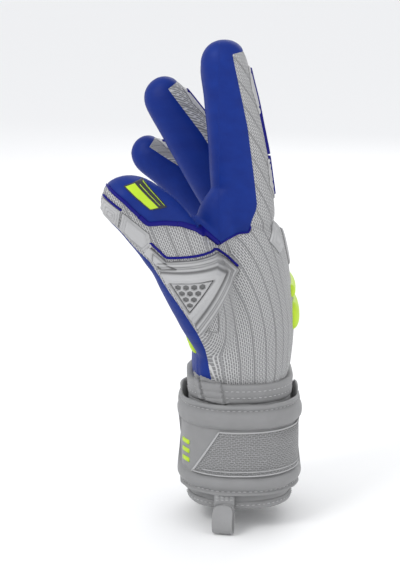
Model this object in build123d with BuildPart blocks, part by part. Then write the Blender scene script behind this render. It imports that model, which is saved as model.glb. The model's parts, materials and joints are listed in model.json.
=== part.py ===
from build123d import *
from math import cos, radians, sin, tan
import os

os.makedirs("parts", exist_ok=True)

# A right-hand goalkeeper glove, standing on its cuff as if a hand filled it.
# +Z runs from the cuff's hem to the fingertips, the palm faces -X, the thumb is on -Y.
# The origin is the centre of the hem opening. All sizes are millimetres.

# ---- cuff ---------------------------------------------------------------------------------
CUFF_DEPTH = 62.0            # palm to back, outside
CUFF_WIDTH = 78.0            # thumb side to little-finger side, outside
CUFF_WALL = 3.0
HEM_HEIGHT = 5.0
HEM_PROUD = 0.7              # how far the hem binding stands out of the cuff band
ELASTIC_BOTTOM = 66.0        # the knitted elastic starts at the top of the strap
WRIST_HEIGHT = 76.0          # the elastic ends and the hand begins
CORNER = 0.46                # corner radius of a stadium section, as a share of its short side

# ---- strap --------------------------------------------------------------------------------
STRAP_BOTTOM = 9.0
STRAP_TOP = 66.0
STRAP_GAP = 1.7              # room between cuff and strap, filled by the hook and loop
STRAP_THICK = 2.5
ROLL_THICK = 2.1
UPPER_ROLL = 10.0            # height of the padded roll along the top edge
LOWER_ROLL = 8.0
PATCH_THICK = 0.6            # hook patch and loop patch, each
PANEL_MARGIN = 3.0           # from a roll to the mesh panel
SEAM_GAP = 0.5               # between strap sections where they fold
BASE_REACH = 20.0            # how far the sewn strap base runs round the back

# ---- pull tab -----------------------------------------------------------------------------
TAB_CENTRE = -9.5            # its place along the hem, palmward of the middle
TAB_WIDTH = 13.0
TAB_TOP = 4.5
TAB_BOTTOM = -13.5
TAB_WEB = 2.0
TAB_DEPTH = 9.2              # how far the loop stands out at its widest
TAB_NECK = 4.2               # two layers of webbing sewn together
TAB_CLEAR = 0.5              # between the loop and the stitched anchor behind it
ANCHOR_THICK = 1.0
ANCHOR_BOTTOM = 0.8
ANCHOR_TOP = 8.3

# ---- hand ---------------------------------------------------------------------------------
HAND_WALL = 3.5
# height, palm side x, back side x, thumb side y, little-finger side y
HAND_SECTIONS = [
    (WRIST_HEIGHT, -30.0, 32.0, -39.0, 39.0),
    (100.0, -30.0, 34.0, -46.0, 45.0),
    (130.0, -24.0, 32.0, -51.0, 49.0),
    (155.0, -19.0, 28.0, -53.0, 51.5),
    (176.0, -17.0, 24.0, -53.0, 52.0),
]
KNUCKLE_SLOPE = 9.0          # the top of the hand falls towards the little finger, degrees
KNUCKLE_HEIGHT = 166.0       # of that slope at the middle of the hand
PALM_SPLIT = -12.0           # palm latex lies palmward of this x
SIDE_SPLIT = 43.0            # the side panel lies beyond this y
LINING_THICK = 1.2
PAD_THICK = 2.0
PAD_SEAT = 0.15              # bedding of a pad on the sleeve under it

# ---- fingers ------------------------------------------------------------------------------
FINGER_WALL = 3.0
STUB = 34.0                  # length of the finger roots that belong to the hand
HINGE_GAP = 0.85             # half of the gap at a knuckle's hinge line
FLEX_CLEAR = 0.4             # between a flex gusset and the sleeves beside it
BASE_CURL = 50.0             # how far a finger bends at its root
BASE_BACK = 10.0             # and how far it bends back
TIP_CURL = 60.0              # how far it bends at its middle joint
THUMB_CURL = 32.0
THUMB_BACK = 8.0
THUMB_TIP_CURL = 44.0
FOLD_MARGIN = 4.0            # degrees kept open at either end of a joint's travel
TIP_ROUND = 8.5
# y, root joint (x, z), lean and length of the base, lean and length of the tip,
# depth at root, middle and tip, width
FINGERS = {
    "index": (-39.5, 0.7, 194.0, 6.2, 36.0, 10.7, 50.0, 35.5, 31.0, 24.0, 26.0),
    "middle": (-12.6, 0.5, 190.0, 6.0, 37.0, 11.0, 48.0, 35.0, 31.0, 24.0, 26.0),
    "ring": (14.3, -10.7, 188.0, 31.0, 34.0, 35.0, 41.0, 33.0, 31.0, 23.0, 26.0),
    "little": (39.8, -20.0, 174.0, 46.0, 26.0, 55.0, 31.0, 28.0, 26.0, 21.0, 24.0),
}
THUMB_ROOT = (-36.0, -60.0, 160.0)
THUMB_ALONG = (-0.63, -0.36, 0.69)
THUMB_NAIL = (-0.33, -0.72, -0.61)
THUMB_BASE = 23.0
THUMB_TIP = 43.0
THUMB_DEPTH = (31.0, 28.0, 22.0)
THUMB_WIDTH = (37.0, 34.0, 28.0)
# centre and across-size of the ball of the thumb, from the wrist up to the thumb's root
BALL_LOW = (-7.0, -20.0, 98.0)
BALL_LOW_SIZE = (40.0, 36.0)
BALL_MID = (-22.0, -43.0, 133.0)
BALL_MID_SIZE = (37.0, 42.0)


def stadium(depth, width):
    """A rounded rectangle whose short sides are nearly half circles."""
    RectangleRounded(depth, width, CORNER * min(depth, width))


def tube(frame, stations, grow=0.0):
    """A solid through stadium sections (height, depth, width) stacked on a frame."""
    with BuildPart() as body:
        for height, depth, width in stations:
            with BuildSketch(frame.offset(height)):
                stadium(depth + 2 * grow, width + 2 * grow)
        loft(ruled=True)
    return body.part


def domed(frame, stations, rounding, grow=0.0):
    """The same solid with its far end rounded over."""
    top = stations[-1][0] + grow
    with BuildPart() as body:
        for height, depth, width in stations[:-1]:
            with BuildSketch(frame.offset(height)):
                stadium(depth + 2 * grow, width + 2 * grow)
        with BuildSketch(frame.offset(top)):
            stadium(stations[-1][1] + 2 * grow, stations[-1][2] + 2 * grow)
        loft(ruled=True)
        end = body.faces().sort_by(Axis(frame.origin, frame.z_dir))[-1]
        fillet(end.edges(), rounding + grow)
    return body.part


def side_view(frame):
    """The plane that looks along a joint's hinge, with the finger pointing up."""
    return Plane(origin=frame.origin, x_dir=frame.x_dir, z_dir=frame.x_dir.cross(frame.z_dir))


def notch(frame, palm_angle, back_angle, half_width, inset=0.0):
    """A bow-tie prism about a hinge line: the room that a knuckle needs to fold."""
    reach = 26.0
    neck = HINGE_GAP - inset
    palm_rise = reach * tan(radians(palm_angle)) - inset
    back_rise = reach * tan(radians(back_angle)) - inset
    palm_start = HINGE_GAP / tan(radians(palm_angle))
    back_start = HINGE_GAP / tan(radians(back_angle))
    with BuildPart() as wedge:
        with BuildSketch(side_view(frame)):
            with BuildLine():
                Polyline(
                    (-reach, -palm_rise),
                    (-palm_start, -neck),
                    (back_start, -neck),
                    (reach, -back_rise),
                    (reach, back_rise),
                    (back_start, neck),
                    (-palm_start, neck),
                    (-reach, palm_rise),
                    close=True,
                )
            make_face()
        extrude(amount=half_width, both=True)
    return wedge.part


def flex_ring(frame, depth, width, palm_angle, back_angle):
    """The soft ring of sleeve that folds at a knuckle."""
    reach = 22.0
    span = [(-reach, depth, width), (reach, depth, width)]
    with BuildPart() as ring:
        add(tube(frame, span))
        add(tube(frame, span, -FINGER_WALL), mode=Mode.SUBTRACT)
        add(notch(frame, palm_angle, back_angle, width, FLEX_CLEAR), mode=Mode.INTERSECT)
    return ring.part


def finger_frame(y, x, z, lean):
    """A frame on a finger: local z along it, local x out of its back."""
    angle = radians(lean)
    return Plane(origin=(x, y, z), x_dir=(cos(angle), 0, sin(angle)), z_dir=(-sin(angle), 0, cos(angle)))


def save(part, name):
    """Name a finished piece and write it."""
    part.label = name
    export_step(part, f"parts/{name}.step")


# ---- the frames and section sizes of all five digits --------------------------------------
digits = {}
for name, values in FINGERS.items():
    y, x, z, lean, length, tip_lean, tip_length, root, middle, tip, width = values
    base = finger_frame(y, x, z, lean)
    knuckle = base.offset(length).origin
    digits[name] = {
        "base": base,
        "tip": finger_frame(knuckle.Y, knuckle.X, knuckle.Z, tip_lean),
        "fold": finger_frame(knuckle.Y, knuckle.X, knuckle.Z, (lean + tip_lean) / 2),
        "length": length,
        "tip_length": tip_length,
        "depth": (root, middle, tip),
        "width": (width, width, width - 3.0),
        "base_fold": ((BASE_CURL + FOLD_MARGIN) / 2, (BASE_BACK + FOLD_MARGIN) / 2),
        "tip_fold": ((TIP_CURL + FOLD_MARGIN) / 2, FOLD_MARGIN),
    }
along = Vector(*THUMB_ALONG).normalized()
nail = Vector(*THUMB_NAIL)
nail = (nail - along * nail.dot(along)).normalized()
thumb_base = Plane(origin=THUMB_ROOT, x_dir=nail, z_dir=along)
thumb_tip = thumb_base.offset(THUMB_BASE)
digits["thumb"] = {
    "base": thumb_base,
    "tip": thumb_tip,
    "fold": thumb_tip,
    "length": THUMB_BASE,
    "tip_length": THUMB_TIP,
    "depth": THUMB_DEPTH,
    "width": THUMB_WIDTH,
    "base_fold": ((THUMB_CURL + FOLD_MARGIN) / 2, (THUMB_BACK + FOLD_MARGIN) / 2),
    "tip_fold": ((THUMB_TIP_CURL + FOLD_MARGIN) / 2, FOLD_MARGIN),
}

# ---- finger sleeves: latex front and sides, textile back, a rubber pad along the back ------
root_flexes = []
for name, d in digits.items():
    depth = d["depth"]
    width = d["width"]
    base_span = [(0, depth[0], width[0]), (d["length"], depth[1], width[1])]
    tip_span = [(0, depth[1], width[1]), (d["tip_length"], depth[2], width[2])]
    inner_tip_span = [(0, depth[1], width[1]), (d["tip_length"] - FINGER_WALL, depth[2], width[2])]
    back_split = 0.2 * depth[1]
    base_notch = notch(d["base"], *d["base_fold"], width[0])
    middle_notch = notch(d["fold"], *d["tip_fold"], width[0])

    with BuildPart() as base_sleeve:
        add(tube(d["base"], base_span))
        add(tube(d["base"], base_span, -FINGER_WALL), mode=Mode.SUBTRACT)
        add(base_notch, mode=Mode.SUBTRACT)
        add(middle_notch, mode=Mode.SUBTRACT)

    with BuildPart() as tip_sleeve:
        add(domed(d["tip"], tip_span, TIP_ROUND))
        add(domed(d["tip"], inner_tip_span, TIP_ROUND, -FINGER_WALL), mode=Mode.SUBTRACT)
        add(middle_notch, mode=Mode.SUBTRACT)

    base_cut = Plane(d["base"].origin + d["base"].x_dir * back_split, z_dir=d["base"].x_dir)
    tip_cut = Plane(d["tip"].origin + d["tip"].x_dir * back_split, z_dir=d["tip"].x_dir)

    with BuildPart() as base_latex:
        add(base_sleeve.part)
        split(bisect_by=base_cut, keep=Keep.BOTTOM)
    save(base_latex.part, f"{name}_base_latex")

    with BuildPart() as base_back:
        add(base_sleeve.part)
        split(bisect_by=base_cut, keep=Keep.TOP)
    save(base_back.part, f"{name}_base_back")

    with BuildPart() as tip_latex:
        add(tip_sleeve.part)
        split(bisect_by=tip_cut, keep=Keep.BOTTOM)
    save(tip_latex.part, f"{name}_tip_latex")

    with BuildPart() as tip_back:
        add(tip_sleeve.part)
        split(bisect_by=tip_cut, keep=Keep.TOP)
    save(tip_back.part, f"{name}_tip_back")

    pad_low = 0.18 * d["tip_length"]
    pad_high = 0.62 * d["tip_length"]
    with BuildPart() as back_pad:
        add(tube(d["tip"], tip_span, PAD_SEAT + PAD_THICK / 2))
        add(tube(d["tip"], tip_span, PAD_SEAT), mode=Mode.SUBTRACT)
        with BuildSketch(Plane(d["tip"].origin, x_dir=d["tip"].y_dir, z_dir=d["tip"].x_dir)):
            with Locations((0, (pad_low + pad_high) / 2)):
                RectangleRounded(0.5 * width[1], pad_high - pad_low, 3.0)
        extrude(amount=depth[1], mode=Mode.INTERSECT)
    save(back_pad.part, f"{name}_back_pad")

    with BuildPart() as middle_flex:
        add(flex_ring(d["fold"], depth[1], width[1], *d["tip_fold"]))
    save(middle_flex.part, f"{name}_middle_flex")
    root_flexes.append(flex_ring(d["base"], depth[0], width[0], *d["base_fold"]))

with BuildPart() as finger_base_flex:
    for ring in root_flexes[:-1]:
        add(ring)
save(finger_base_flex.part, "finger_base_flex")

with BuildPart() as thumb_base_flex:
    add(root_flexes[-1])
save(thumb_base_flex.part, "thumb_base_flex")


# ---- hand ---------------------------------------------------------------------------------
def hand_body(grow, top_drop=0.0):
    """The palm and back as one solid, without fingers, cut to the slope of the knuckles."""
    slope = radians(KNUCKLE_SLOPE)
    crown = Plane(origin=(0, 0, KNUCKLE_HEIGHT - top_drop), z_dir=(0, sin(slope), cos(slope)))
    with BuildPart() as body:
        for height, palm, back, thumb_side, little_side in HAND_SECTIONS:
            centre = ((palm + back) / 2, (thumb_side + little_side) / 2, height)
            with BuildSketch(Plane(origin=centre)):
                stadium(back - palm + 2 * grow, little_side - thumb_side + 2 * grow)
        loft(ruled=True)
        split(bisect_by=crown, keep=Keep.BOTTOM)
    return body.part


def finger_roots(grow):
    """The four finger roots that stand on the hand."""
    with BuildPart() as roots:
        for name in FINGERS:
            d = digits[name]
            root_span = [(-STUB, d["depth"][0], d["width"][0]), (0, d["depth"][0], d["width"][0])]
            add(tube(d["base"], root_span, grow))
    return roots.part


def thumb_ball(grow):
    """The ball of the thumb, from inside the palm to the thumb's root."""
    low = Plane(origin=BALL_LOW, x_dir=nail, z_dir=Vector(*BALL_MID) - Vector(*BALL_LOW))
    middle = Plane(origin=BALL_MID, x_dir=nail, z_dir=thumb_base.origin - Vector(*BALL_LOW))
    places = [(low, BALL_LOW_SIZE), (middle, BALL_MID_SIZE)]
    with BuildPart() as ball:
        for place, size in places:
            with BuildSketch(place):
                stadium(size[0] + 2 * grow, size[1] + 2 * grow)
        with BuildSketch(thumb_base):
            stadium(THUMB_DEPTH[0] + 2 * grow, THUMB_WIDTH[0] + 2 * grow)
        loft(ruled=True)
    return ball.part


hand_outside = hand_body(0.0)
hand_inside = hand_body(-HAND_WALL, HAND_WALL)
roots_inside = finger_roots(-FINGER_WALL)
ball_inside = thumb_ball(-HAND_WALL)

with BuildPart() as hand_shell:
    add(hand_outside)
    add(finger_roots(0.0))
    for name in FINGERS:
        d = digits[name]
        half = d["width"][0] / 2 + 0.4
        add(notch(d["base"], *d["base_fold"], half), mode=Mode.SUBTRACT)
    add(hand_inside, mode=Mode.SUBTRACT)
    add(roots_inside, mode=Mode.SUBTRACT)
    add(ball_inside, mode=Mode.SUBTRACT)

palm_plane = Plane(origin=(PALM_SPLIT, 0, 0), z_dir=(1, 0, 0))
side_plane = Plane(origin=(0, SIDE_SPLIT, 0), z_dir=(0, 1, 0))

with BuildPart() as palm_latex:
    add(hand_shell.part)
    split(bisect_by=palm_plane, keep=Keep.BOTTOM)
save(palm_latex.part, "palm_latex")

with BuildPart() as backhand_panel:
    add(hand_shell.part)
    split(bisect_by=palm_plane, keep=Keep.TOP)
    split(bisect_by=side_plane, keep=Keep.BOTTOM)
save(backhand_panel.part, "backhand_panel")

with BuildPart() as little_side_panel:
    add(hand_shell.part)
    split(bisect_by=palm_plane, keep=Keep.TOP)
    split(bisect_by=side_plane, keep=Keep.TOP)
save(little_side_panel.part, "little_side_panel")

with BuildPart() as thumb_root:
    add(thumb_ball(0.0))
    add(hand_outside, mode=Mode.SUBTRACT)
    add(ball_inside, mode=Mode.SUBTRACT)
    add(notch(thumb_base, *digits["thumb"]["base_fold"], THUMB_WIDTH[0]), mode=Mode.SUBTRACT)
    add(finger_roots(PAD_SEAT), mode=Mode.SUBTRACT)
save(thumb_root.part, "thumb_root")

lining_seat = HAND_WALL + PAD_SEAT
with BuildPart() as hand_lining:
    add(hand_body(-lining_seat, lining_seat))
    add(hand_body(-lining_seat - LINING_THICK, lining_seat + LINING_THICK), mode=Mode.SUBTRACT)
    add(roots_inside, mode=Mode.SUBTRACT)
    add(ball_inside, mode=Mode.SUBTRACT)
save(hand_lining.part, "hand_lining")


# ---- pads on the hand: outlines seen from the side they lie on ------------------------------
def hand_pad(plane, outline, rounding, thick):
    """A pad on the hand, cut to an outline drawn on a plane outside it."""
    with BuildPart() as pad:
        add(hand_body(PAD_SEAT + thick))
        add(hand_body(PAD_SEAT), mode=Mode.SUBTRACT)
        with BuildSketch(plane) as shape:
            with BuildLine():
                Polyline(*outline, close=True)
            make_face()
            fillet(shape.vertices(), rounding)
        extrude(amount=60.0, mode=Mode.INTERSECT)
    return pad.part


from_back = Plane(origin=(5, 0, 0), x_dir=(0, 1, 0), z_dir=(1, 0, 0))
back_shapes = {
    "knuckle_pad": [(-44, 150), (-36, 163), (34, 154), (40, 146), (30, 139), (-34, 141)],
    "back_pad_upper": [(-26, 126), (-18, 134), (18, 134), (26, 126)],
    "back_pad_lower": [(-26, 122), (26, 122), (16, 106), (-16, 106)],
}
for name, outline in back_shapes.items():
    with BuildPart() as pad:
        add(hand_pad(from_back, outline, 2.0, PAD_THICK))
    save(pad.part, name)

with BuildPart() as palm_patch:
    for skin in (hand_body, thumb_ball):
        add(skin(PAD_SEAT + PAD_THICK))
    for skin in (hand_body, thumb_ball):
        add(skin(PAD_SEAT), mode=Mode.SUBTRACT)
    with BuildSketch(Plane(origin=(-16, 0, 0), x_dir=(0, -1, 0), z_dir=(-1, 0, 0))) as shape:
        with BuildLine():
            Polyline((6, 92), (24, 92), (28, 108), (10, 108), close=True)
        make_face()
        fillet(shape.vertices(), 2.0)
    extrude(amount=40.0, mode=Mode.INTERSECT)
save(palm_patch.part, "palm_patch")

from_thumb = Plane(origin=(0, -48, 0), x_dir=(1, 0, 0), z_dir=(0, -1, 0))
guard_outline = [(-46, 152), (-30, 168), (-16, 166), (-6, 152), (-24, 118), (-36, 130)]
comb_outline = [(-38, 146), (-17, 149), (-27, 130)]


def ball_pad(outline, rounding, thick):
    """A pad on the ball of the thumb, below the thumb's hinge."""
    with BuildPart() as pad:
        add(thumb_ball(PAD_SEAT + thick))
        add(thumb_ball(PAD_SEAT), mode=Mode.SUBTRACT)
        add(hand_body(PAD_SEAT), mode=Mode.SUBTRACT)
        add(notch(thumb_base, *digits["thumb"]["base_fold"], 2 * THUMB_WIDTH[0]), mode=Mode.SUBTRACT)
        with BuildSketch(from_thumb) as shape:
            with BuildLine():
                Polyline(*outline, close=True)
            make_face()
            fillet(shape.vertices(), rounding)
        extrude(amount=60.0, mode=Mode.INTERSECT)
    return pad.part


with BuildPart() as comb_room:
    with BuildSketch(from_thumb):
        with BuildLine():
            Polyline(*comb_outline, close=True)
        make_face()
        offset(amount=0.3, kind=Kind.INTERSECTION)
    extrude(amount=60.0)

with BuildPart() as thumb_guard:
    add(ball_pad(guard_outline, 2.0, PAD_THICK))
    add(comb_room.part, mode=Mode.SUBTRACT)
save(thumb_guard.part, "thumb_guard")

with BuildPart() as thumb_guard_honeycomb:
    add(ball_pad(comb_outline, 0.8, PAD_THICK - 0.6))
save(thumb_guard_honeycomb.part, "thumb_guard_honeycomb")

label_low = 6.0
label_length = 24.0
with BuildPart() as thumb_label:
    d = digits["thumb"]
    tip_span = [(0, d["depth"][1], d["width"][1]), (d["tip_length"], d["depth"][2], d["width"][2])]
    add(tube(d["tip"], tip_span, PAD_SEAT + 0.8))
    add(tube(d["tip"], tip_span, PAD_SEAT), mode=Mode.SUBTRACT)
    with BuildSketch(Plane(thumb_tip.origin, x_dir=nail.cross(along), z_dir=-nail)):
        with Locations((0, label_low + label_length / 2)):
            RectangleRounded(14.0, label_length, 1.0)
    extrude(amount=THUMB_DEPTH[1], mode=Mode.INTERSECT)
save(thumb_label.part, "thumb_label")


# ---- cuff ---------------------------------------------------------------------------------
def cuff_ring(bottom, top, inside, outside):
    """A ring round the cuff: its faces are given outwards from the cuff band's outside."""
    with BuildPart() as ring:
        with BuildSketch(Plane.XY.offset(bottom)):
            stadium(CUFF_DEPTH + 2 * outside, CUFF_WIDTH + 2 * outside)
            with BuildSketch(mode=Mode.SUBTRACT):
                stadium(CUFF_DEPTH + 2 * inside, CUFF_WIDTH + 2 * inside)
        extrude(amount=top - bottom)
    return ring.part


with BuildPart() as cuff_band:
    add(cuff_ring(HEM_HEIGHT, ELASTIC_BOTTOM, -CUFF_WALL, 0))
save(cuff_band.part, "cuff_band")

with BuildPart() as cuff_hem:
    add(cuff_ring(0, HEM_HEIGHT, -CUFF_WALL, HEM_PROUD))
save(cuff_hem.part, "cuff_hem")

wrist_palm = HAND_SECTIONS[0][1]
wrist_back = HAND_SECTIONS[0][2]
wrist_centre = (wrist_palm + wrist_back) / 2
with BuildPart() as wrist_elastic:
    for wall, mode in ((0.0, Mode.ADD), (CUFF_WALL, Mode.SUBTRACT)):
        with BuildSketch(Plane.XY.offset(ELASTIC_BOTTOM)):
            stadium(CUFF_DEPTH - 2 * wall, CUFF_WIDTH - 2 * wall)
        with BuildSketch(Plane(origin=(wrist_centre, 0, WRIST_HEIGHT))):
            stadium(wrist_back - wrist_palm - 2 * wall, CUFF_WIDTH - 2 * wall)
        loft(ruled=True, mode=mode)
save(wrist_elastic.part, "wrist_elastic")

strap_inside = STRAP_GAP
strap_outside = STRAP_GAP + STRAP_THICK
roll_outside = strap_outside + ROLL_THICK
hinge_x = CUFF_DEPTH / 2 + roll_outside


def strap_span(bottom, top, inside, outside, thumb_half):
    """Half of a ring: the half on the thumb side, or the little-finger half past the base."""
    with BuildPart() as span:
        add(cuff_ring(bottom, top, inside, outside))
        with BuildSketch(Plane.XY.offset(bottom)):
            if thumb_half:
                with Locations((0, -SEAM_GAP / 2)):
                    Rectangle(200, 100, align=(Align.CENTER, Align.MAX))
            else:
                with BuildLine():
                    Polyline(
                        (-100, SEAM_GAP / 2),
                        (0, SEAM_GAP / 2),
                        (0, BASE_REACH + SEAM_GAP),
                        (100, BASE_REACH + SEAM_GAP),
                        (100, 100),
                        (-100, 100),
                        close=True,
                    )
                make_face()
        extrude(amount=top - bottom, mode=Mode.INTERSECT)
    return span.part


with BuildPart() as strap_wrap:
    add(strap_span(STRAP_BOTTOM, STRAP_TOP, strap_inside, strap_outside, True))
save(strap_wrap.part, "strap_wrap")

with BuildPart() as strap_upper_roll:
    add(strap_span(STRAP_TOP - UPPER_ROLL, STRAP_TOP, strap_outside, roll_outside, True))
save(strap_upper_roll.part, "strap_upper_roll")

with BuildPart() as strap_lower_roll:
    add(strap_span(STRAP_BOTTOM, STRAP_BOTTOM + LOWER_ROLL, strap_outside, roll_outside, True))
save(strap_lower_roll.part, "strap_lower_roll")

panel_bottom = STRAP_BOTTOM + LOWER_ROLL + PANEL_MARGIN
panel_top = STRAP_TOP - UPPER_ROLL - PANEL_MARGIN
with BuildPart() as strap_mesh_panel:
    add(strap_span(panel_bottom, panel_top, strap_outside, strap_outside + ROLL_THICK / 2, True))
    with BuildSketch(Plane.XZ):
        with BuildLine():
            Polyline(
                (-30, panel_bottom),
                (60, panel_bottom),
                (60, panel_top),
                (-14, panel_top),
                close=True,
            )
        make_face()
    extrude(amount=CUFF_WIDTH, mode=Mode.INTERSECT)
save(strap_mesh_panel.part, "strap_mesh_panel")

with BuildPart() as strap_tail:
    add(strap_span(STRAP_BOTTOM, STRAP_TOP, strap_inside, roll_outside, False))
save(strap_tail.part, "strap_tail")

with BuildPart() as strap_base:
    add(cuff_ring(STRAP_BOTTOM, STRAP_TOP, 0.1, roll_outside))
    with BuildSketch(Plane.XY.offset(STRAP_BOTTOM)):
        with Locations((0, SEAM_GAP / 2)):
            Rectangle(100, BASE_REACH - SEAM_GAP / 2, align=(Align.MIN, Align.MIN))
    extrude(amount=STRAP_TOP - STRAP_BOTTOM, mode=Mode.INTERSECT)
save(strap_base.part, "strap_base")

patch_bottom = STRAP_BOTTOM + LOWER_ROLL
patch_top = STRAP_TOP - UPPER_ROLL


def fastener_patch(inside):
    """A thin patch on the little-finger side between the cuff and the strap."""
    with BuildPart() as patch:
        add(cuff_ring(patch_bottom, patch_top, inside, inside + PATCH_THICK))
        with BuildSketch(Plane.XY.offset(patch_bottom)):
            with Locations((0, CUFF_WIDTH / 4)):
                Rectangle(40, CUFF_WIDTH, align=(Align.CENTER, Align.MIN))
        extrude(amount=patch_top - patch_bottom, mode=Mode.INTERSECT)
    return patch.part


with BuildPart() as loop_patch:
    add(fastener_patch(0.0))
save(loop_patch.part, "loop_patch")

with BuildPart() as hook_patch:
    add(fastener_patch(STRAP_GAP - PATCH_THICK))
save(hook_patch.part, "hook_patch")

# A smooth strip down the wrist, over the elastic, that slips under the strap.
with BuildPart() as wrist_strip:
    add(cuff_ring(STRAP_TOP - 8.0, WRIST_HEIGHT + 2.0, 0.5, STRAP_GAP - 0.3))
    with BuildSketch(Plane(origin=(0, 0, STRAP_TOP), z_dir=(0, -1, 0), x_dir=(1, 0, 0))):
        with Locations((-17, 2.0)):
            Rectangle(14.0, 30.0)
    extrude(amount=CUFF_WIDTH, mode=Mode.INTERSECT)
save(wrist_strip.part, "wrist_strip")

# ---- pull tab: a loop of webbing that hangs from the hem ------------------------------------
hem_face = (TAB_CENTRE, -CUFF_WIDTH / 2 - HEM_PROUD, 0)
tab_side = Plane(origin=hem_face, x_dir=(0, -1, 0), z_dir=(-1, 0, 0))
tab_back = ANCHOR_THICK + TAB_CLEAR
tab_front = tab_back + TAB_DEPTH

with BuildPart() as tab_anchor:
    add(cuff_ring(ANCHOR_BOTTOM, ANCHOR_TOP, HEM_PROUD, HEM_PROUD + ANCHOR_THICK))
    with BuildSketch(tab_side):
        with Locations((0, (ANCHOR_BOTTOM + ANCHOR_TOP) / 2)):
            Rectangle(12.0, ANCHOR_TOP - ANCHOR_BOTTOM)
    extrude(amount=TAB_WIDTH / 2 - 0.5, both=True, mode=Mode.INTERSECT)
save(tab_anchor.part, "tab_anchor")

with BuildPart() as pull_tab:
    with BuildSketch(tab_side):
        with BuildLine():
            Polyline(
                (tab_back, TAB_TOP),
                (tab_back + TAB_NECK, TAB_TOP),
                (tab_front, TAB_TOP - 8.5),
                (tab_front, TAB_BOTTOM),
                (tab_back, TAB_BOTTOM),
                close=True,
            )
        make_face()
        with BuildLine():
            Polyline(
                (tab_back + TAB_WEB, TAB_TOP - 5.5),
                (tab_back + TAB_NECK - 0.2, TAB_TOP - 5.5),
                (tab_front - TAB_WEB, TAB_TOP - 10.0),
                (tab_front - TAB_WEB, TAB_BOTTOM + TAB_WEB),
                (tab_back + TAB_WEB, TAB_BOTTOM + TAB_WEB),
                close=True,
            )
        make_face(mode=Mode.SUBTRACT)
    extrude(amount=TAB_WIDTH / 2, both=True)
save(pull_tab.part, "pull_tab")
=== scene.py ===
# %% [markdown]
# # A goalkeeper glove
# The glove stands on its cuff with the palm facing -X and the thumb on -Y. Its CAD model is the frame: it
# gives the joints, the bodies and the boxes that every soft piece below is built into.
# %% Load the frame
import json
import math

import bmesh
import bpy
import numpy as np
from mathutils import Matrix, Vector, noise
from mathutils.bvhtree import BVHTree


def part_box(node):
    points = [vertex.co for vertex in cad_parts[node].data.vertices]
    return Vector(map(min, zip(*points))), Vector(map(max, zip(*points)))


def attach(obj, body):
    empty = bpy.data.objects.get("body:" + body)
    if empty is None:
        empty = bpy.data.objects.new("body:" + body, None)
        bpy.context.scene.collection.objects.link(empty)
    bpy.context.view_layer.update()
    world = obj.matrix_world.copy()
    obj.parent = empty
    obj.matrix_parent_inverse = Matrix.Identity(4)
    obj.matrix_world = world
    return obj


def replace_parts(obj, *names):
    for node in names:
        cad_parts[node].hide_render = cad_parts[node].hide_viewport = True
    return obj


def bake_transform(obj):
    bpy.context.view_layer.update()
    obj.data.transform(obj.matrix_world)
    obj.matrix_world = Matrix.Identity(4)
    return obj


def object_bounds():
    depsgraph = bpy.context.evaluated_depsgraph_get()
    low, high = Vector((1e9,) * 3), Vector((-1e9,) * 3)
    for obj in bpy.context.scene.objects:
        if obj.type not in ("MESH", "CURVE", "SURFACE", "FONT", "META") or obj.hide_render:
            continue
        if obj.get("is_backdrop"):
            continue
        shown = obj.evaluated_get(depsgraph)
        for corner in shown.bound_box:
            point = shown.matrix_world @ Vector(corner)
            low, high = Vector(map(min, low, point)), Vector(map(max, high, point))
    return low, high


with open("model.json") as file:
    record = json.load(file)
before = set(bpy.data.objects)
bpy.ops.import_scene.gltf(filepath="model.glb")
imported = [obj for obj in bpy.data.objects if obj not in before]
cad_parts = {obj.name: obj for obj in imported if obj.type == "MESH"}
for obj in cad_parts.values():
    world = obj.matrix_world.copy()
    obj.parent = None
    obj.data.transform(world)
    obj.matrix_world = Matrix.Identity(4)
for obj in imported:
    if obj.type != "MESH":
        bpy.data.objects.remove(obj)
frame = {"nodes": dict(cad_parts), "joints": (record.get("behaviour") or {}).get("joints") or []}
CAD_LOW, CAD_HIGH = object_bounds()
MM = 0.001
FINGERS = ("index", "middle", "ring", "little")
DIGITS = FINGERS + ("thumb",)
print("CAD box", [round(x, 4) for x in (*CAD_LOW, *CAD_HIGH)])


# %% [markdown]
# Sizes read best in millimetres, and Blender works in metres, so one small helper turns a point in
# millimetres into a vector. A second one turns a finished bmesh into a named piece with its material and
# its body.
# %% Small helpers
def mm(x, y, z):
    """A point given in millimetres."""
    return Vector((x, y, z)) * MM


def smoothstep(value):
    value = np.clip(value, 0, 1)
    return value * value * (3 - 2 * value)


def add_piece(bm, name, material, body=None, smooth=True):
    mesh = bpy.data.meshes.new(name)
    bm.to_mesh(mesh)
    bm.free()
    mesh.materials.append(material)
    mesh.polygons.foreach_set("use_smooth", [smooth] * len(mesh.polygons))
    piece = bpy.data.objects.new(name, mesh)
    bpy.context.scene.collection.objects.link(piece)
    if body:
        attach(piece, body)
    return piece


def soften(piece, levels=1):
    """Live subdivision, the same for the view and the render."""
    modifier = piece.modifiers.new("soften", "SUBSURF")
    modifier.levels = modifier.render_levels = levels
    return piece


# %% [markdown]
# The camera faces the thumb's side of the glove and looks slightly down, and a long lens keeps the
# uprights parallel. Three soft lamps and a pale world light the glove evenly, on one large plain sheet of
# floor.
# %% Camera, light and floor
TARGET = mm(-24, 0, 129)
DISTANCE = 1.1
LOOK_DOWN = math.radians(12)

camera_data = bpy.data.cameras.new("camera")
camera_data.lens = 115
camera_data.sensor_width = 36
camera = bpy.data.objects.new("camera", camera_data)
camera.location = TARGET + DISTANCE * Vector((0, -math.cos(LOOK_DOWN), math.sin(LOOK_DOWN)))
camera.rotation_euler = (TARGET - camera.location).to_track_quat("-Z", "Y").to_euler()
bpy.context.scene.collection.objects.link(camera)
bpy.context.scene.camera = camera


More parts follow.
